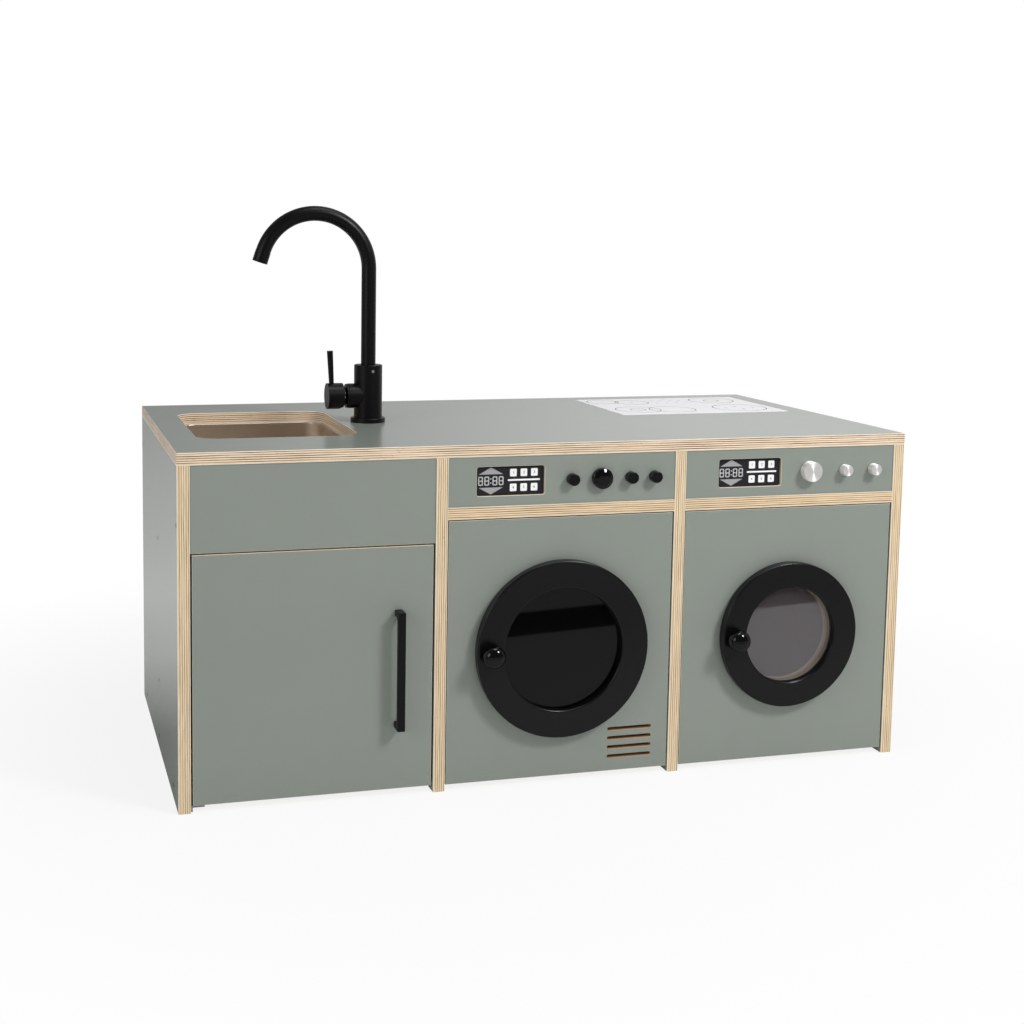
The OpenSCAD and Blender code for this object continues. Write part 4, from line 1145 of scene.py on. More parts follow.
@dataclass
class Joinery:
    """The plywood carcass: worktop, uprights, shelves and fronts, with their screws."""

    sink_low: tuple[float, float] = (48.0, 141.0)
    sink_high: tuple[float, float] = (308.0, 471.0)
    sink_corner: float = 36.0
    tap_bore: float = 15.0
    hob_play: float = 0.1
    hob_depth: float = 2.5
    screw_head: float = 3.5
    screw_head_h: float = 3.0
    screw_play: float = 0.15
    screw_sunk: float = 1.1
    screw_neck: float = 4.0
    screw_tip: float = 4.0
    screw_r: float = 2.5
    screw_l: float = 50.0
    cross_l: float = 3.4
    cross_w: float = 0.7
    cross_deep: float = 0.1
    cross_proud: float = 0.05
    dryer_hole: float = 99.0
    washer_hole: float = 80.0
    magnet_r: float = 5.1
    magnet_depth: float = 3.65
    vent_left: float = 684.0
    vent_low: float = 33.5
    vent_size: tuple[float, float] = (76.0, 5.5)
    vent_pitch: float = 15.1
    vent_count: int = 4
    display_size: tuple[float, float] = (111.0, 46.0)
    display_corner: float = 4.0
    display_depth: float = 8.0
    spindle_bore: float = 3.1

    def plain(
        self, node: str, axis: Axis, finishes: Sequence[Finish], openings: Sequence[Opening] = ()
    ) -> None:
        """Makes the board or boards of one CAD node.

        Args:
            node: The CAD node, whose solids give the boards' boxes.
            axis: The direction of the boards' thickness.
            finishes: The finishes of the faces and of the cut edges.
            openings: The holes and pockets, for a node of one board.
        """
        stock = Stock()
        thick, across, up = axis.value
        for k, (low, high) in enumerate(solids(node)):
            outline = rounded((low[across], low[up]), (high[across], high[up]), 0)
            offset = 37.0 * k + low.x * 0.31 + low.z
            stock.board(axis, low[thick], high[thick], outline, openings, offset=offset)
        settle(stock.mesh(node), f"{node}_ply", "carcass", finishes, [node])

    def worktop(self) -> None:
        """Makes the worktop with the sink's hole, the tap's hole and the hob's recess."""
        low, high = span("hob_plate")
        play = self.hob_play
        hob = rounded((low.x - play, low.y - play), (high.x + play, high.y + play), 0)
        openings = [
            Opening(rounded(self.sink_low, self.sink_high, self.sink_corner, 12)),
            Opening(circle(TAP_AT, self.tap_bore, 48)),
            Opening(hob, self.hob_depth),
        ]
        self.plain("worktop", Axis.Z, (SAGE, WORKTOP_EDGE), openings)

    def uprights(self) -> None:
        """Makes the four uprights. The outer two have their screws' heads let in."""
        screws = solids("side_screws")
        for node, outer in (
            ("left_side", 0.0),
            ("left_divider", None),
            ("right_divider", None),
            ("right_side", 2 * HALF_WIDTH),
        ):
            openings = []
            for low, high in screws:
                if outer is None or abs((low.x if outer == 0 else high.x) - outer) > 1:
                    continue
                at = ((low.y + high.y) / 2, (low.z + high.z) / 2)
                bore = circle(at, self.screw_head + self.screw_play, 20)
                # The bores' walls take slot 2, whose near-black edge is painted shade.
                openings.append(Opening(bore, self.screw_head_h, outer > 0, slot=2))
            self.plain(node, Axis.X, (SAGE, UPRIGHT_EDGE, BORE_SHADE_EDGE), openings)

    def side_screws(self) -> None:
        """Repeats one cross-head screw at each screw of the two outer sides."""
        stock = Stock()
        head = filleted(
            [
                (0, -self.screw_sunk, 0),
                (self.screw_head, -self.screw_sunk, 0.4),
                (self.screw_head, -self.screw_head_h, 0),
                (self.screw_r, -self.screw_neck, 0),
                (self.screw_r, self.screw_tip - self.screw_l, 0),
                (0, -self.screw_l, 0),
            ]
        )
        stock.turn(head, (HALF_WIDTH, FRONT_IN, 0), (-1, 0, 0), steps=20)
        for turn in (0, 1):
            half = Vector((self.cross_l, self.cross_w) if turn else (self.cross_w, self.cross_l)) / 2
            cross = moved(rounded(-half, half, 0), FRONT_IN)
            face = HALF_WIDTH + self.screw_sunk
            stock.board(
                Axis.X, face - self.cross_deep, face + self.cross_proud, cross, ease=0.02, slots=(0, 0)
            )
        places = []
        for k, (low, high) in enumerate(solids("side_screws")):
            left = low.x < 1
            at = (low.x if left else high.x, (low.y + high.y) / 2, (low.z + high.z) / 2)
            places.append((at, (0.6 * k, 0, 0 if left else math.pi), FULL_SIZE))
        mesh = REPEATS.on(stock.mesh("screw"), places, DARK_SCREW)
        settle(mesh, "side_screws_cross_head", "carcass", [DARK_SCREW], ["side_screws"])

    def fronts(self) -> None:
        """Makes the fixed fronts of the two machines and the three fascias."""
        half = self.vent_size[1] / 2
        low = Vector((self.vent_left, self.vent_low - half))
        vent = rounded(low, low + Vector(self.vent_size), half)
        # The vents' walls take slot 2, the darker edge that is painted shade inside the slots.
        vents = [Opening(moved(vent, 0, k * self.vent_pitch), slot=2) for k in range(self.vent_count)]
        magnets = solids("stop_magnets")
        for node, mid, hole, magnet, extra in (
            ("dryer_front", DRYER_MID, self.dryer_hole, magnets[0], vents),
            ("washer_front", WASHER_MID, self.washer_hole, magnets[1], []),
        ):
            at = ((magnet[0].x + magnet[1].x) / 2, (magnet[0].z + magnet[1].z) / 2)
            openings = [
                Opening(circle((mid, DOOR_MID_Z), hole, 128)),
                Opening(circle(at, self.magnet_r, 32), self.magnet_depth, False),
                *extra,
            ]
            self.plain(node, Axis.Y, (SAGE, UPRIGHT_EDGE, SLOT_SHADE_EDGE), openings)
        self.plain("sink_fascia", Axis.Y, (SAGE, UPRIGHT_EDGE))
        for node, display in (("dryer_fascia", "dryer_display"), ("washer_fascia", "washer_display")):
            low, high = span(display)
            middle = Vector(((low.x + high.x) / 2, (low.z + high.z) / 2))
            half = Vector(self.display_size) / 2
            window = rounded(middle - half, middle + half, self.display_corner)
            openings = [Opening(window, self.display_depth, False)]
            for spindle in solids("knob_spindles"):
                x = (spindle[0].x + spindle[1].x) / 2
                z = (spindle[0].z + spindle[1].z) / 2
                reach = span(node)
                if reach[0].x < x < reach[1].x:
                    openings.append(Opening(circle((x, z), self.spindle_bore, 32)))
            self.plain(node, Axis.Y, (SAGE, UPRIGHT_EDGE), openings)

    def inside(self) -> None:
        """Makes the shelves, floors, partitions, rails and battens."""
        self.plain("control_shelves", Axis.Z, (SAGE, RAIL_EDGE))
        self.plain("bay_floors", Axis.Z, (SAGE, WORKTOP_EDGE))
        self.plain("bay_partitions", Axis.Y, (SAGE, WORKTOP_EDGE))
        self.plain("rear_rails", Axis.Y, (SAGE, WORKTOP_EDGE))
        self.plain("front_battens", Axis.Y, (BIRCH, BIRCH))

    def build(self) -> None:
        """Makes every board and screw of the carcass."""
        self.worktop()
        self.uprights()
        self.side_screws()
        self.fronts()
        self.inside()


@dataclass
class CupboardDoor:
    """The plain door under the sink, with its bar handle."""

    handle_l: float = 185.0
    handle_reach: float = 24.0
    handle_t: float = 8.0
    handle_foot: float = 10.0
    strike_play: float = 0.1

    def door(self) -> None:
        """Makes the door, with the strike plate's recess in its back."""
        low, high = span("cupboard_door")
        strike_low, strike_high = span("catch_strike")
        play = self.strike_play
        recess = rounded(
            (strike_low.x - play, strike_low.z - play), (strike_high.x + play, strike_high.z + play), 0
        )
        depth = high.y - strike_low.y
        stock = Stock()
        outline = rounded((low.x, low.z), (high.x, high.z), 0)
        stock.board(Axis.Y, low.y, high.y, outline, [Opening(recess, depth)], offset=11.0)
        mesh = stock.mesh("cupboard_door")
        finishes = (SAGE, UPRIGHT_EDGE)
        settle(mesh, "cupboard_door_ply", "cupboard", finishes, ["cupboard_door"])

    def handle(self) -> None:
        """Makes the bar handle from its side view: two feet and a flat bar, sloped where they meet."""
        low, high = span("bar_handle")
        slope = self.handle_t / 2
        bar = high.y - (self.handle_reach - self.handle_t)
        top = low.z + self.handle_l
        foot = self.handle_foot
        corners = (
            (high.y, low.z),
            (high.y, low.z + foot),
            (bar + slope, low.z + foot),
            (bar, low.z + foot + slope),
            (bar, top - foot - slope),
            (bar + slope, top - foot),
            (high.y, top - foot),
            (high.y, top),
            (low.y, top),
            (low.y, low.z),
        )
        outline = [Vector(p) for p in corners]
        stock = Stock()
        stock.board(Axis.X, low.x, high.x, outline, ease=0.7, slots=(0, 0))
        mesh = stock.mesh("bar_handle")
        settle(mesh, "bar_handle_coated", "cupboard", [HANDLE_BLACK], ["bar_handle"])

    def build(self) -> None:
        """Makes the door and its handle."""
        self.door()
        self.handle()


@dataclass
class RoundDoor:
    """One machine's round door: lacquered ring, window and mushroom pull."""

    key: str
    mid: float
    ring_r: float
    open_r: float
    window: WindowKind
    mid_z: float = DOOR_MID_Z
    back: float = -1.3
    ring_t: float = 15.0
    edge: float = 2.6
    rebate: float = 6.0
    window_t: float = 3.0
    window_play: float = 0.1
    hinge_in: float = 4.0
    pocket_r: float = 3.2
    pocket_half: float = 20.5
    pull_r: float = 17.3
    pull_l: float = 30.0
    pull_neck: float = 8.0
    pull_rise: float = 12.0
    pull_spigot_r: float = 2.5
    pull_spigot_l: float = 9.9
    pull_foot_r: float = 9.2
    pull_foot_h: float = 1.8

    @property
    def body(self) -> str:
        """The CAD body that the door moves with."""
        return f"{self.key}_door"

    def ring(self) -> None:
        """Turns the ring with round edges and cuts the hinge's pocket out of its right side."""
        rebate = self.open_r + self.rebate
        seat = self.window_t + self.window_play
        profile = filleted(
            [
                (rebate, 0, 0.3),
                (self.ring_r, 0, 0.8),
                (self.ring_r, self.ring_t, self.edge),
                (self.open_r, self.ring_t, self.edge),
                (self.open_r, seat, 0.3),
                (rebate, seat, 0.2),
            ],
            closed=True,
        )
        stock = Stock()
        stock.turn(profile, (self.mid, self.back, self.mid_z), (0, -1, 0), steps=160, closed=True)
        ring = placed("ring", stock.mesh(f"{self.key}_ring"))
        outer = self.mid + self.ring_r
        inner = (outer - self.hinge_in - self.pocket_r, self.back - self.hinge_in - self.pocket_r)
        pocket = rounded(inner, (outer + 1, self.back + 1), 0)
        low, high = self.mid_z - self.pocket_half, self.mid_z + self.pocket_half
        block = Stock()
        block.board(Axis.Z, low, high, pocket, ease=0.05, slots=(0, 0))
        cutter = placed("cutter", block.mesh("cutter"))
        cut = ring.modifiers.new("pocket", "BOOLEAN")
        cut.operation = "DIFFERENCE"
        cut.solver = "EXACT"
        cut.object = cutter
        final = applied(ring)
        ring.modifiers.remove(cut)
        bpy.data.objects.remove(ring)
        bpy.data.objects.remove(cutter)
        node = f"{self.key}_ring"
        settle(final, f"{node}_lacquered", self.body, [RING_LACQUER], [node])

    def sheet(self) -> None:
        """Turns the window's disc with a polished edge."""
        node = f"{self.key}_window"
        low, high = span(node)
        radius = (high.x - low.x) / 2
        thick = self.window_t
        profile = filleted([(0, 0, 0), (radius, 0, 0.3), (radius, thick, 0.3), (0, thick, 0)], steps=3)
        stock = Stock()
        stock.turn(profile, (self.mid, high.y, self.mid_z), (0, -1, 0), steps=128)
        dark = self.window is WindowKind.DARK
        finish = DARK_SHEET if dark else CLEAR_SHEET
        settle(stock.mesh(node), f"{node}_sheet", self.body, [finish], [node])

    def pull(self) -> None:
        """Turns the mushroom pull: a flared neck that swells into a dome."""
        node = f"{self.key}_pull"
        low, high = span(node)
        flare = self.pull_rise / 3
        dome = self.pull_l - self.pull_rise
        profile = [
            (0.0, -self.pull_spigot_l),
            (self.pull_spigot_r, -self.pull_spigot_l),
            (self.pull_spigot_r, 0.0),
            (self.pull_foot_r, 0.0),
            (self.pull_foot_r - 0.6, 0.5),
            (self.pull_neck, self.pull_foot_h),
        ]
        for k in range(13):
            a = math.radians(7.5 * k)
            wide = self.pull_neck + (self.pull_r - self.pull_neck) * math.sin(a)
            profile.append((wide, self.pull_rise - flare * math.cos(a)))
        rim = dome / 3
        for k in range(19):
            a = math.radians(5 * k)
            profile.append((self.pull_r * math.cos(a), self.pull_rise + rim + (dome - rim) * math.sin(a)))
        profile[-1] = (0.0, self.pull_l)
        stock = Stock()
        at = ((low.x + high.x) / 2, self.back - self.ring_t, self.mid_z)
        stock.turn(profile, at, (0, -1, 0), steps=72)
        settle(stock.mesh(node), f"{node}_gloss", self.body, [GLOSS_BLACK], [node])

    def build(self) -> None:
        """Makes the ring, the window and the pull."""
        self.ring()
        self.sheet()
        self.pull()


@dataclass
class Knob:
    """One control knob, turned from its CAD node's box."""

    node: str
    style: KnobStyle
    dome_h: float = 4.2
    crown_h: float = 0.9
    crown_share: float = 0.62

    def build(self) -> None:
        """Turns the knob in its style."""
        low, high = span(self.node)
        radius = (high.x - low.x) / 2
        length = high.y - low.y
        at = ((low.x + high.x) / 2, high.y, (low.z + high.z) / 2)
        if self.style is KnobStyle.BLACK_DIAL:
            corners = [
                (0, 0, 0),
                (radius, 0, 0.4),
                (radius, length - self.dome_h, 1.6),
                (radius * self.crown_share, length - self.crown_h, 6),
                (0, length, 0),
            ]
            finish, slot = GLOSS_BLACK, "black_knob"
        elif self.style is KnobStyle.BLACK_SMALL:
            corners = [(0, 0, 0), (radius, 0, 0.4), (radius, length, 1.5), (0, length, 0)]
            finish, slot = SATIN_BLACK, "black_knob"
        else:
            ease = 0.7 if self.style is KnobStyle.ALLOY_DIAL else 0.9
            corners = [(0, 0, 0), (radius, 0, 0.3), (radius, length, ease), (0, length, 0)]
            finish, slot = ALLOY, "spun_aluminium"
        stock = Stock()
        stock.turn(filleted(corners, steps=6), at, (0, -1, 0), steps=64)
        settle(stock.mesh(self.node), f"{self.node}_turned", self.node, [finish], [self.node])


@dataclass
class Display:
    """A printed display: dark panel, two stepped triangles, four digits, six keys and a line."""

    node: str
    ink: float = 0.06
    corner: float = 3.9
    text_size: float = 6.0
    text_proud: float = 0.12
    key_corner: float = 1.6
    # The bars of a stepped triangle: how many, and half of each one's height.
    steps: ClassVar[int] = 9
    step_half: ClassVar[float] = 0.57
    # Half a digit segment's length and width, and the width of its outline.
    segment: ClassVar[tuple] = (3.3, 0.8, 0.5)
    dot_half: ClassVar[float] = 0.75
    # What follows is in shares of the panel's width and height, from its left and from its top.
    triangle_x: ClassVar[float] = 0.2185
    triangle_w: ClassVar[float] = 0.348
    triangle_ends: ClassVar[tuple] = ((0.045, 0.275), (0.955, 0.725))
    digit_lefts: ClassVar[tuple] = (0.032, 0.123, 0.242, 0.333)
    digit_w: ClassVar[float] = 0.071
    digit_ends: ClassVar[tuple] = (0.346, 0.654)
    colon: ClassVar[tuple] = ((0.218, 0.43), (0.218, 0.57))
    key_columns: ClassVar[tuple] = (0.5475, 0.7025, 0.8575)
    key_rows: ClassVar[tuple] = (0.2375, 0.745)
    key_half: ClassVar[tuple] = (0.0495, 0.131)
    line_at: ClassVar[tuple] = (0.704, 0.49)
    line_half: ClassVar[tuple] = (0.236, 0.03)

    def __post_init__(self) -> None:
        """Reads the panel's place from its CAD node."""
        self.low, self.high = span(self.node)
        self.face = self.low.y
        self.size = Vector((self.high.x - self.low.x, self.high.z - self.low.z))

    def at(self, across: float, down: float) -> tuple[float, float, float]:
        """Gives the place on the panel's face at a share from its left and from its top."""
        return (self.low.x + across * self.size.x, self.face, self.high.z - down * self.size.y)

    def spot(self, across: float, down: float) -> tuple:
        """Gives a plain copy's place, angles and scale."""
        return (self.at(across, down), STRAIGHT, FULL_SIZE)

    def panel(self) -> None:
        """Makes the dark panel."""
        stock = Stock()
        outline = rounded((self.low.x, self.low.z), (self.high.x, self.high.z), self.corner)
        stock.board(Axis.Y, self.low.y, self.high.y, outline, ease=0.2, slots=(0, 0))
        mesh = stock.mesh(self.node)
        settle(mesh, f"{self.node}_panel", "carcass", [DISPLAY_DARK], [self.node])

    def bar(self, half_w: float, half_h: float, tip: float = 0.0, rim: float = 0.0) -> bpy.types.Mesh:
        """Makes a flat printed bar about the origin, facing -Y.

        Args:
            half_w: Half its width.
            half_h: Half its height.
            tip: How far its ends are pointed.
            rim: The width of its outline, or 0 for a full bar.

        Returns:
            The bar's mesh.
        """
        loop = [(-half_w, 0), (-half_w + tip, -half_h), (half_w - tip, -half_h), (half_w, 0)]
        loop += [(half_w - tip, half_h), (-half_w + tip, half_h)]
        outline = [Vector(p) for p in loop] if tip else rounded((-half_w, -half_h), (half_w, half_h), 0)
        return self.printed(outline, [Opening(moved(grown(outline, -rim), HALF_WIDTH))] if rim else [])

    def printed(self, outline: Loop, openings: Sequence[Opening] = ()) -> bpy.types.Mesh:
        """Makes a flat print about the origin, facing -Y.

        Args:
            outline: Its edge, about the origin.
            openings: Its holes, in the bench's frame.

        Returns:
            The print's mesh.
        """
        stock = Stock()
        edge = moved(outline, HALF_WIDTH)
        stock.board(Axis.Y, FRONT_IN - self.ink, FRONT_IN, edge, openings, ease=0.01, slots=(0, 0))
        return stock.mesh("print")

    def lay(self, shape: bpy.types.Mesh, places: Sequence[tuple], finish: Finish, part: str) -> None:
        """Repeats a print on the panel as one piece.

        Args:
            shape: The print, about the origin.
            places: Each copy's place, angles and scale.
            finish: Its ink.
            part: What the piece's name ends in.
        """
        copies = REPEATS.on(shape, places, finish)
        settle(copies, f"{self.node}_{part}", "carcass", [finish])

    def triangles(self) -> list[tuple]:
        """Lists the bars that step up and down to the two triangles' points.

        Returns:
            Each bar's place, angles and scale.
        """
        places = []
        for k in range(self.steps):
            wide = self.triangle_w * (k + 0.7) / self.steps
            for top, base in self.triangle_ends:
                down = top + (base - top) * (k + 0.5) / self.steps
                places.append((self.at(self.triangle_x, down), STRAIGHT, (wide, 1, 1)))
        return places

    def digits(self) -> list[tuple]:
        """Lists the segments of the four digits.

        Returns:
            Each segment's place, angles and scale.
        """
        places = []
        top, bottom = self.digit_ends
        for left in self.digit_lefts:
            for down in (top + 0.02, 0.5, bottom - 0.02):
                places.append(self.spot(left + self.digit_w / 2, down))
            for across in (left + 0.008, left + self.digit_w - 0.008):
                for down in (top + 0.087, bottom - 0.087):
                    places.append((self.at(across, down), (0, math.pi / 2, 0), FULL_SIZE))
        return places

    def numbers(self) -> bpy.types.Mesh:
        """Makes the keys' plain numbers, from 1.

        Returns:
            One mesh of them all, in the row's frame.
        """
        joined = bmesh.new()
        keys = [(across, down) for down in self.key_rows for across in self.key_columns]
        for number, key in enumerate(keys, 1):
            text = bpy.data.curves.new("number", "FONT")
            text.body = str(number)
            text.align_x = "CENTER"
            text.align_y = "CENTER"
            text.size = self.text_size / 1000
            text.extrude = 0.00002
            carrier = bpy.data.objects.new("number", text)
            mesh = bpy.data.meshes.new_from_object(carrier)
            place = row(self.at(*key)) - Vector((0, self.text_proud / 1000, 0))
            mesh.transform(Matrix.Translation(place) @ Matrix.Rotation(math.pi / 2, 4, "X"))
            joined.from_mesh(mesh)
            bpy.data.objects.remove(carrier)
        mesh = bpy.data.meshes.new("numbers")
        joined.to_mesh(mesh)
        joined.free()
        return mesh

    def build(self) -> None:
        """Makes the panel and its prints."""
        self.panel()
        wide, tall = self.size
        self.lay(self.bar(wide / 2, self.step_half), self.triangles(), DISPLAY_GREY, "triangles")
        half_l, half_w, rim = self.segment
        segment = self.bar(half_l, half_w, tip=half_w, rim=rim)
        self.lay(segment, self.digits(), DISPLAY_WHITE, "digits")
        dots = [self.spot(*place) for place in self.colon]
        self.lay(self.bar(self.dot_half, self.dot_half), dots, DISPLAY_WHITE, "colon")
        half = Vector((wide * self.key_half[0], tall * self.key_half[1]))
        spots = [self.spot(x, z) for z in self.key_rows for x in self.key_columns]
        self.lay(self.printed(rounded(-half, half, self.key_corner)), spots, DISPLAY_WHITE, "keys")
        line = self.bar(wide * self.line_half[0], tall * self.line_half[1])
        self.lay(line, [self.spot(*self.line_at)], DISPLAY_WHITE, "line")
        settle(self.numbers(), f"{self.node}_numbers", "carcass", [DISPLAY_DARK])


@dataclass
class Sink:
    """The steel basin under the worktop's opening."""

    low: tuple[float, float] = (51.0, 144.0)
    high: tuple[float, float] = (305.0, 468.0)
    corner: float = 33.0
    flange: float = 17.0
    top: float = 526.0
    bottom: float = 438.0
    sheet_t: float = 1.0
    lip: float = 2.0
    sweep: float = 14.0
    screw_head_r: float = 4.0
    screw_head_h: float = 2.0
    screw_r: float = 1.75
    screw_l: float = 13.0

    def section(self, out: float) -> Profile:
        """Gives the wall's inner face from the flange to the floor, as growth of the loop and height.

        Args:
            out: The sheet's thickness, for the outer face.

        Returns:
            The section's points.
        """
        floor = self.bottom + self.sheet_t - out
        corners = [
            (self.flange, self.top - out, 0),
            (out, self.top - out, self.lip + out * 0.5),
            (out, floor, self.sweep + out),
            (-2 * self.sweep, floor, 0),
        ]
        return filleted(corners, steps=6)

    def build(self) -> None:
        """Makes the basin's inner and outer faces and closes them at the flange and the floor."""
        base = rounded(self.low, self.high, self.corner, 10)
        stock = Stock()
        ends = []
        for out in (0.0, self.sheet_t):
            rings = [stock.ring([(p.x, p.y, z) for p in grown(base, by)]) for by, z in self.section(out)]
            for upper, lower in zip(rings, rings[1:]):
                stock.band(upper, lower)
            stock.face(rings[-1])
            ends.append(rings[0])
        stock.band(*ends)
        settle(stock.mesh("basin"), "sink_basin_steel", "carcass", [BASIN], ["sink_basin"])
        self.screws()

    def screws(self) -> None:
        """Repeats the pan-head screw that holds the flange from below."""
        stock = Stock()
        profile = filleted(
            [
                (0, -self.screw_head_h, 0),
                (self.screw_head_r, -self.screw_head_h, 1.2),
                (self.screw_head_r, 0, 0),
                (self.screw_r, 0, 0),
                (self.screw_r, self.screw_l, 0),
                (0, self.screw_l, 0),
            ]
        )
        stock.turn(profile, (HALF_WIDTH, FRONT_IN, 0), (0, 0, 1), steps=20)
        places = []
        for k, (low, high) in enumerate(solids("basin_screws")):
            at = ((low.x + high.x) / 2, (low.y + high.y) / 2, low.z + self.screw_head_h)
            places.append((at, (0, 0, 0.5 * k), FULL_SIZE))
        mesh = REPEATS.on(stock.mesh("pan_head"), places, ZINC)
        settle(mesh, "basin_screws_pan_head", "carcass", [ZINC], ["basin_screws"])


@dataclass
class Hob:
    """The white hob panel with its printed zones."""

    line: float = 1.7
    ink: float = 0.06
    ease: float = 0.4
    corner: float = 2.0
    # Half a mark's length and width before it is sized.
    mark_half: ClassVar[tuple] = (2.5, 0.5)
    # Each ring's middle, from the panel's left and back edges, and its radius.
    rings: ClassVar[tuple] = (
        (38, 46, 30),
        (92, 62, 32),
        (262, 55, 43),
        (262, 55, 14),
        (58, 172, 42),
        (58, 172, 14),
        (124, 178, 43),
        (262, 175, 50),
    )
    # Each mark's middle, likewise, and how many times as long it is.
    marks_across: ClassVar[tuple] = (
        (178, 20, 1.6),
        *[(x, back, 1.4) for back in (44, 76) for x in (140, 160, 180, 198)],
        (38, 46, 1.2),
        (92, 62, 1.2),
    )
    marks_along: ClassVar[tuple] = ((262, 156, 3.0), (262, 194, 3.0), (235, 175, 2.4), (289, 175, 2.4))

    def at(self, x: float, back: float) -> tuple[float, float, float]:
        """Gives a place on the panel, from its left edge and from its back edge."""
        low, high = span("hob_plate")
        return (low.x + x, high.y - back, high.z)

    def panel(self) -> None:
        """Makes the white panel."""
        low, high = span("hob_plate")
        stock = Stock()
        outline = rounded((low.x, low.y), (high.x, high.y), self.corner, 4)
        stock.board(Axis.Z, low.z, high.z, outline, ease=self.ease, slots=(0, 0))
        settle(stock.mesh("hob"), "hob_panel", "carcass", [HOB_WHITE], ["hob_plate"])

    def zones(self) -> None:
        """Prints the rings."""
        points = bpy.data.meshes.new("zones")
        points.from_pydata([row(self.at(x, back)) for x, back, _ in self.rings], [], [])
        layer = points.attributes.new("radius", "FLOAT", "POINT")
        layer.data.foreach_set("value", [radius / 1000 for _, _, radius in self.rings])
        values = {
            "Line Width": self.line / 1000,
            "Ink Height": self.ink / 1000,
            "Material": HOB_INK.material(),
        }
        settle(PrintedRings().run(points, values), "hob_zone_rings", "carcass", [HOB_INK])

    def marks(self) -> None:
        """Prints the small marks between the rings."""
        mark = Stock()
        half = Vector(self.mark_half)
        outline = moved(rounded(-half, half, 0), HALF_WIDTH, FRONT_IN)
        mark.board(Axis.Z, 0, self.ink, outline, ease=0.01, slots=(0, 0))
        places = []
        for table, turn in ((self.marks_along, math.pi / 2), (self.marks_across, 0.0)):
            for x, back, size in table:
                places.append((self.at(x, back), (0, 0, turn), (size, 1.4, 1)))
        settle(REPEATS.on(mark.mesh("mark"), places, HOB_INK), "hob_marks", "carcass", [HOB_INK])

    def build(self) -> None:
        """Makes the panel, its rings and its small marks."""
        self.panel()
        self.zones()
        self.marks()


@dataclass
class MixerTap:
    """The tall black tap: body, bent spout, side mixer and its lever."""

    at_x: float = TAP_AT[0]
    at_y: float = TAP_AT[1]
    foot_z: float = 545.0
    body_r: float = 24.0
    body_h: float = 98.0
    foot_r: float = 29.6
    foot_h: float = 8.0
    shank_r: float = 14.0
    shank_l: float = 30.0
    mixer_z: float = 590.0
    mixer_r: float = 21.0
    mixer_reach: float = 35.7
    mixer_bore: float = 8.2
    mixer_bore_end: float = 10.0
    spout_r: float = 12.5
    spigot_r: float = 10.0
    spigot_l: float = 28.0
    spigot_in: float = 0.5
    play: float = 0.1
    bend_r: float = 92.5
    bend_z: float = 260.0
    bend_angle: float = 162.0

    def body(self) -> None:
        """Turns the body, its shank and the stub that carries the mixer."""
        stock = Stock()
        foot = (self.at_x, self.at_y, self.foot_z)
        top = self.body_h
        shank_end = -BOARD_T - self.shank_l
        socket = self.spigot_r + self.play
        profile = filleted(
            [
                (0, shank_end, 0),
                (self.shank_r, shank_end, 0.8),
                (self.shank_r, 0, 0),
                (self.body_r, 0, 0.3),
                (self.body_r, top, 1.4),
                (socket, top, 0.4),
                (socket, top - self.spigot_l, 0),
                (0, top - self.spigot_l, 0),
            ]
        )
        stock.turn(profile, foot, (0, 0, 1), steps=96)
        stub = filleted(
            [
                (0, 0, 0),
                (self.mixer_r, 0, 0),
                (self.mixer_r, self.mixer_reach, 0.6),
                (self.mixer_bore, self.mixer_reach, 0),
                (self.mixer_bore, self.mixer_bore_end, 0),
                (0, self.mixer_bore_end, 0),
            ]
        )
        stock.turn(stub, (self.at_x, self.at_y, self.mixer_z), (-1, 0, 0), steps=72)
        settle(stock.mesh("tap_body"), "tap_body_coated", "carcass", [TAP_BLACK], ["tap_body"])
        inner = self.body_r + self.play
        ring = filleted(
            [
                (inner, 0, 0),
                (self.foot_r, 0, 0.3),
                (self.foot_r, self.foot_h, 1.6),
                (inner, self.foot_h, 0.3),
            ],
            closed=True,
        )
        stock = Stock()
        stock.turn(ring, foot, (0, 0, 1), closed=True)
        mesh = stock.mesh("foot_ring")
        settle(mesh, "tap_foot_ring_coated", "carcass", [TAP_BLACK], ["tap_foot_ring"])

    def spout(self) -> None:
        """Grows the spout's tube along its straight part and its bend, and turns the spigot below."""
        point = bpy.data.meshes.new("start")
        point.from_pydata([(0, 0, 0)], [], [])
        values = {
            "Rise": (self.bend_z - self.body_h) / 1000,
            "Bend Radius": self.bend_r / 1000,
            "Angle": math.radians(self.bend_angle),
            "Tube Radius": self.spout_r / 1000,
            "Points": 120.0,
            "Material": TAP_BLACK.material(),
        }
        tube = BentTube().run(point, values)
        tube.transform(Matrix.Translation(row((self.at_x, self.at_y, self.foot_z + self.body_h))))
        spigot = Stock()
        end = self.spigot_l + self.spigot_in
        profile = [(0, 0), (self.spigot_r, 0), (self.spigot_r, end), (0, end)]
        start = (self.at_x, self.at_y, self.foot_z + self.body_h - self.spigot_l)
        spigot.turn(profile, start, (0, 0, 1), steps=48)
        joined = bmesh.new()
        joined.from_mesh(tube)
        joined.from_mesh(spigot.mesh("spigot"))
        bmesh.ops.recalc_face_normals(joined, faces=joined.faces)
        mesh = bpy.data.meshes.new("spout")
        joined.to_mesh(mesh)
        joined.free()
        settle(shaded(mesh, 40), "spout_tube", "tap_spout", [TAP_BLACK], ["spout"])

    def build(self) -> None:
        """Makes the body, the spout and the eased copies of the mixer's parts."""
        self.body()
        self.spout()
        for node, body, width in (
            ("aerator", "tap_spout", 0.4),
            ("mixer_collar", "carcass", 0.4),
            ("lever_cap", "lever", 0.9),
            ("lever_rod", "lever", 0.6),
        ):
            settle(eased_copy(node, width), f"{node}_coated", body, [TAP_BLACK], [node])


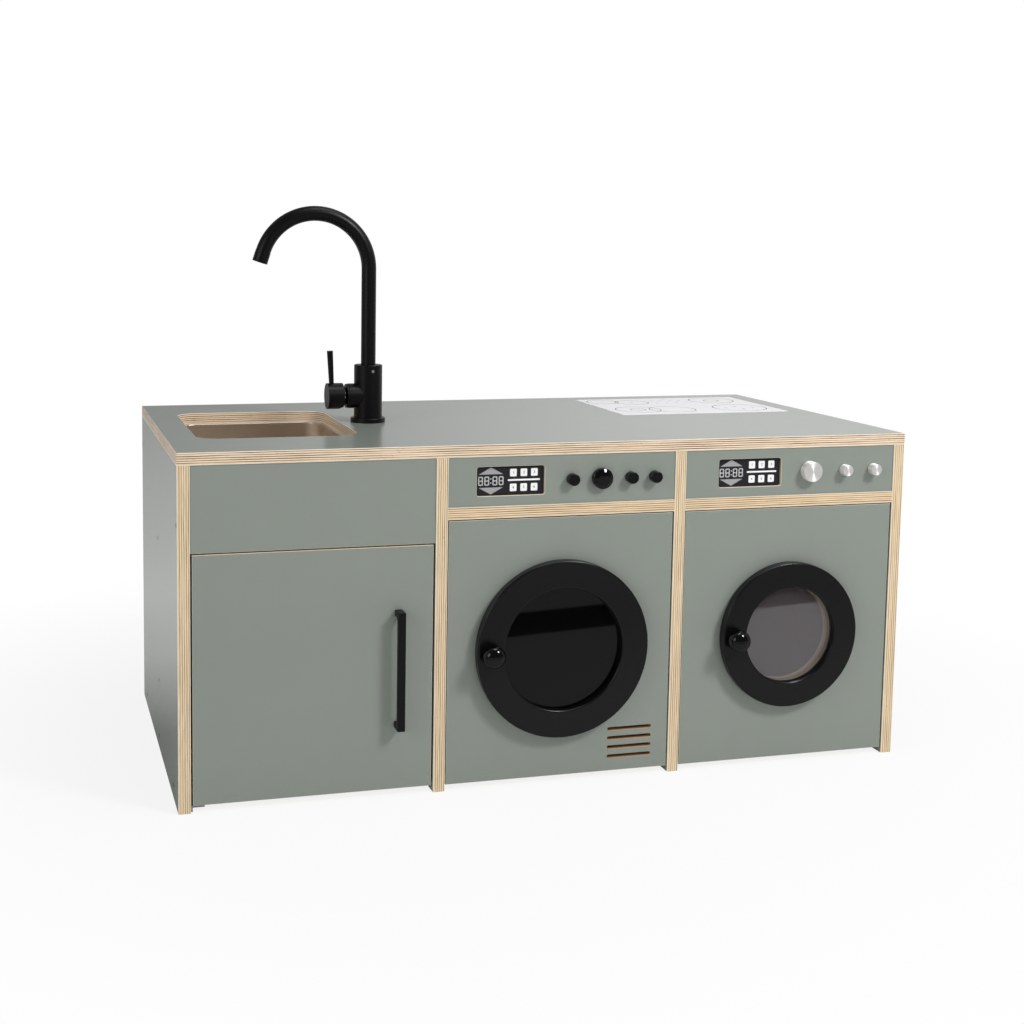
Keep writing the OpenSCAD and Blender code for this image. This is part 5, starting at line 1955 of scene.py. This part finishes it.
def eased_copy(node: str, width: float, angle: float = 35.0) -> bpy.types.Mesh:
    """Copies a CAD node's mesh, joins its loose triangles and eases its sharp edges.

    Args:
        node: The CAD node.
        width: The width of the small bevel, in millimetres.
        angle: Edges over this angle, in degrees, are eased.

    Returns:
        The eased mesh.
    """
    bm = bmesh.new()
    bm.from_mesh(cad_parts[node].data)
    bmesh.ops.remove_doubles(bm, verts=bm.verts, dist=1e-6)
    bmesh.ops.dissolve_limit(bm, angle_limit=math.radians(0.5), verts=bm.verts, edges=bm.edges)
    sharp = [e for e in bm.edges if len(e.link_faces) == 2 and e.calc_face_angle(0) > math.radians(angle)]
    bmesh.ops.bevel(
        bm,
        geom=sharp,
        offset=width / 1000,
        offset_type="OFFSET",
        segments=2,
        profile=0.5,
        affect="EDGES",
        clamp_overlap=True,
    )
    mesh = bpy.data.meshes.new(node)
    bm.to_mesh(mesh)
    bm.free()
    return shaded(mesh, 25)


@dataclass
class Hardware:
    """The CAD nodes whose shapes stay, each with its real finish."""

    kept: ClassVar[dict] = {
        ZINC: (
            "knob_spindles",
            "spindle_nuts",
            "hinge_plates",
            "dryer_hinge_flap",
            "washer_hinge_flap",
            "door_pivots",
            "catch_strike",
            "stop_magnets",
            "dryer_ring_magnet",
            "washer_ring_magnet",
            "tap_nut",
            "lever_pin",
            "handle_screws",
        ),
        WHITE_PLASTIC: ("door_catch",),
        BIRCH: ("worktop_dowels",),
        GRUB_STEEL: ("tap_grub_screw",),
        TAP_BLACK: ("mixer_ball",),
    }

    def build(self) -> None:
        """Gives each kept node its finish."""
        for finish, nodes in self.kept.items():
            for node in nodes:
                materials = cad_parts[node].data.materials
                materials.clear()
                materials.append(finish.material())
                LOG.info("%s: CAD shape in %s", node, finish.name)


@dataclass
class Studio:
    """Pale floor, soft lamps, white background and the camera."""

    floor_half: float = 6.0
    camera_at: tuple[float, float, float] = (-0.8241, -2.4419, 0.8686)
    yaw: float = -14.846
    pitch: float = 6.010
    roll: float = 0.6
    lens: float = 52.55
    shift: tuple[float, float] = (0.10, -0.12)
    ambient: float = 0.59
    room_level: float = 0.12
    sweep_turn: float = 9.3
    sweep_end: float = -1.066
    sweep_gap: float = 0.176
    # How bright the floor is to reflections at places from front to back, after the ramp's two own stops.
    sweep: ClassVar[tuple] = (
        (-0.5, 0.45),
        (4.0, 0.52),
        (-0.2, 0.15),
        (0.1, 0.16),
        (0.3, 0.42),
        (0.55, 0.68),
        (1.1, 0.82),
        (1.8, 0.7),
    )
    # Each lamp's name, place, aim, size and power.
    lamps: ClassVar[tuple] = (
        ("key", (1.7, -2.3, 2.6), (0.1, -0.2, 0.25), 0.8, 69.0),
        ("fill", (-2.8, -1.6, 1.4), (-0.2, 0.0, 0.25), 1.8, 18.0),
        ("top", (0.3, -0.5, 2.8), (0.0, 0.0, 0.4), 1.2, 12.0),
    )

    def white_to_camera(self, tree: bpy.types.NodeTree) -> bpy.types.NodeSocket:
        """Tells which rays see the background: from the camera, off gloss or through clear sheet.

        Args:
            tree: The tree that gets the nodes.

        Returns:
            1 for such a ray.
        """
        path = add_node(tree, "ShaderNodeLightPath")
        first = add_node(
            tree,
            "ShaderNodeMath",
            {0: path.outputs["Is Camera Ray"], 1: path.outputs["Is Glossy Ray"]},
            operation="MAXIMUM",
        ).outputs[0]
        return add_node(
            tree, "ShaderNodeMath", {0: first, 1: path.outputs["Is Transmission Ray"]}, operation="MAXIMUM"
        ).outputs[0]

    def world(self) -> None:
        """Lights the scene evenly, and shows white behind it."""
        world = bpy.data.worlds.new("studio")
        bpy.context.scene.world = world
        world.use_nodes = True
        tree = world.node_tree
        tree.nodes.clear()
        seen = self.white_to_camera(tree)
        way = add_node(tree, "ShaderNodeTexCoord").outputs["Generated"]
        parts = add_node(tree, "ShaderNodeSeparateXYZ", {0: way}).outputs
        behind = add_node(
            tree,
            "ShaderNodeMapRange",
            {"Value": parts["X"], "From Min": 0.1, "From Max": 0.42, "To Min": 0.34, "To Max": 0.9},
        ).outputs[0]
        dim, bright = self.room_level, behind
        room = add_node(
            tree,
            "ShaderNodeMapRange",
            {"Value": parts["Y"], "From Min": -0.5, "From Max": 0.5, "To Min": dim, "To Max": bright},
        ).outputs[0]
        glossy = add_node(tree, "ShaderNodeLightPath").outputs["Is Glossy Ray"]
        white = add_node(tree, "ShaderNodeMix", {0: glossy, 2: 1.0, 3: room}).outputs[0]
        soft = add_node(
            tree,
            "ShaderNodeMapRange",
            {"Value": parts["Z"], "From Min": 0.2, "To Min": self.ambient, "To Max": self.ambient * 0.3},
        ).outputs[0]
        level = add_node(
            tree, "ShaderNodeMapRange", {"Value": seen, "To Min": soft, "To Max": white}
        ).outputs[0]
        glow = add_node(tree, "ShaderNodeBackground", {"Color": (1, 1, 1, 1), "Strength": level}).outputs[0]
        add_node(tree, "ShaderNodeOutputWorld", {"Surface": glow})

    def floor(self) -> None:
        """Lays the pale floor, which keeps a faint shadow of the bench."""
        half = self.floor_half
        mesh = bpy.data.meshes.new("floor")
        corners = [(-half, -half, 0), (half, -half, 0), (half, half, 0), (-half, half, 0)]
        mesh.from_pydata(corners, [], [(0, 1, 2, 3)])
        floor = placed("floor", mesh)
        material = bpy.data.materials.new("pale_floor")
        material.use_nodes = True
        tree = material.node_tree
        tree.nodes.clear()
        seen = self.white_to_camera(tree)
        at = add_node(tree, "ShaderNodeTexCoord").outputs["Object"]
        away = add_node(tree, "ShaderNodeVectorMath", {0: at}, operation="LENGTH").outputs["Value"]
        keep = add_node(
            tree,
            "ShaderNodeMapRange",
            {"Value": away, "From Min": 0.6, "From Max": 1.5, "To Min": 0.85, "To Max": 1.0},
            interpolation_type="SMOOTHSTEP",
        ).outputs[0]
        share = add_node(tree, "ShaderNodeMath", {0: seen, 1: keep}, operation="MULTIPLY").outputs[0]
        paint = add_node(tree, "ShaderNodeBsdfDiffuse", {"Color": (0.86, 0.86, 0.86, 1)}).outputs[0]
        lean = math.radians(self.sweep_turn)
        way = (math.sin(lean), math.cos(lean), 0)
        out = add_node(
            tree, "ShaderNodeVectorMath", {0: at, 1: way}, operation="DOT_PRODUCT"
        ).outputs["Value"]
        past = [
            add_node(tree, "ShaderNodeMath", {0: out, 1: place}, operation="LESS_THAN").outputs[0]
            for place in (self.sweep_end - self.sweep_gap, self.sweep_end)
        ]
        dark = add_node(tree, "ShaderNodeMath", {0: past[1], 1: past[0]}, operation="SUBTRACT").outputs[0]
        back = add_node(tree, "ShaderNodeSeparateXYZ", {0: at}).outputs["Y"]
        place = add_node(
            tree, "ShaderNodeMapRange", {"Value": back, "From Min": -half, "From Max": half}
        ).outputs[0]
        sweep = add_node(
            tree,
            "ShaderNodeValToRGB",
            {"Fac": place},
            stops=[((y / half + 1) / 2, (grey, grey, grey, 1)) for y, grey in self.sweep],
        ).outputs["Color"]
        dim = add_node(
            tree, "ShaderNodeMapRange", {"Value": dark, "To Min": sweep, "To Max": 0.02}
        ).outputs[0]
        glossy = add_node(tree, "ShaderNodeLightPath").outputs["Is Glossy Ray"]
        level = add_node(tree, "ShaderNodeMix", {0: glossy, 2: 1.0, 3: dim}).outputs[0]
        white = add_node(tree, "ShaderNodeEmission", {"Color": (1, 1, 1, 1), "Strength": level}).outputs[0]
        mixed = add_node(tree, "ShaderNodeMixShader", {0: share, 1: paint, 2: white}).outputs[0]
        add_node(tree, "ShaderNodeOutputMaterial", {"Surface": mixed})
        mesh.materials.append(material)

    def light(self) -> None:
        """Hangs the soft lamps."""
        for name, at, aim, size, power in self.lamps:
            lamp = bpy.data.lights.new(name, "AREA")
            lamp.shape = "DISK"
            lamp.size = size
            lamp.energy = power
            stand = placed(name, lamp)
            stand.location = at
            stand.rotation_euler = (Vector(aim) - Vector(at)).to_track_quat("-Z", "Y").to_euler()

    def camera(self) -> None:
        """Sets the camera at the photograph's viewing angle."""
        data = bpy.data.cameras.new("camera")
        data.lens = self.lens
        data.sensor_width = 36.0
        data.shift_x, data.shift_y = self.shift
        data.clip_end = 50.0
        camera = placed("camera", data)
        camera.location = self.camera_at
        turn = (
            Matrix.Rotation(math.radians(self.yaw), 4, "Z")
            @ Matrix.Rotation(math.radians(90 - self.pitch), 4, "X")
            @ Matrix.Rotation(math.radians(self.roll), 4, "Z")
        )
        camera.rotation_euler = turn.to_euler()
        bpy.context.scene.camera = camera

    def build(self) -> None:
        """Sets up the world, the floor, the lamps and the camera."""
        self.world()
        self.floor()
        self.light()
        self.camera()
        bpy.context.scene.view_settings.view_transform = "Standard"


REPEATS = Repeats()


def main() -> None:
    """Builds every sub-assembly in order."""
    logging.basicConfig(level=logging.INFO, format="%(name)s: %(message)s")
    Studio().build()
    Joinery().build()
    CupboardDoor().build()
    RoundDoor("dryer", DRYER_MID, ring_r=142.0, open_r=98.0, window=WindowKind.DARK).build()
    RoundDoor("washer", WASHER_MID, ring_r=120.0, open_r=79.0, window=WindowKind.CLEAR).build()
    for node, style in (
        ("dryer_knob_1", KnobStyle.BLACK_SMALL),
        ("dryer_dial", KnobStyle.BLACK_DIAL),
        ("dryer_knob_2", KnobStyle.BLACK_SMALL),
        ("dryer_knob_3", KnobStyle.BLACK_SMALL),
        ("washer_dial", KnobStyle.ALLOY_DIAL),
        ("washer_knob_1", KnobStyle.ALLOY_SMALL),
        ("washer_knob_2", KnobStyle.ALLOY_SMALL),
    ):
        Knob(node, style).build()
    Display("dryer_display").build()
    Display("washer_display").build()
    Sink().build()
    Hob().build()
    MixerTap().build()
    Hardware().build()


if __name__ == "__main__":
    main()
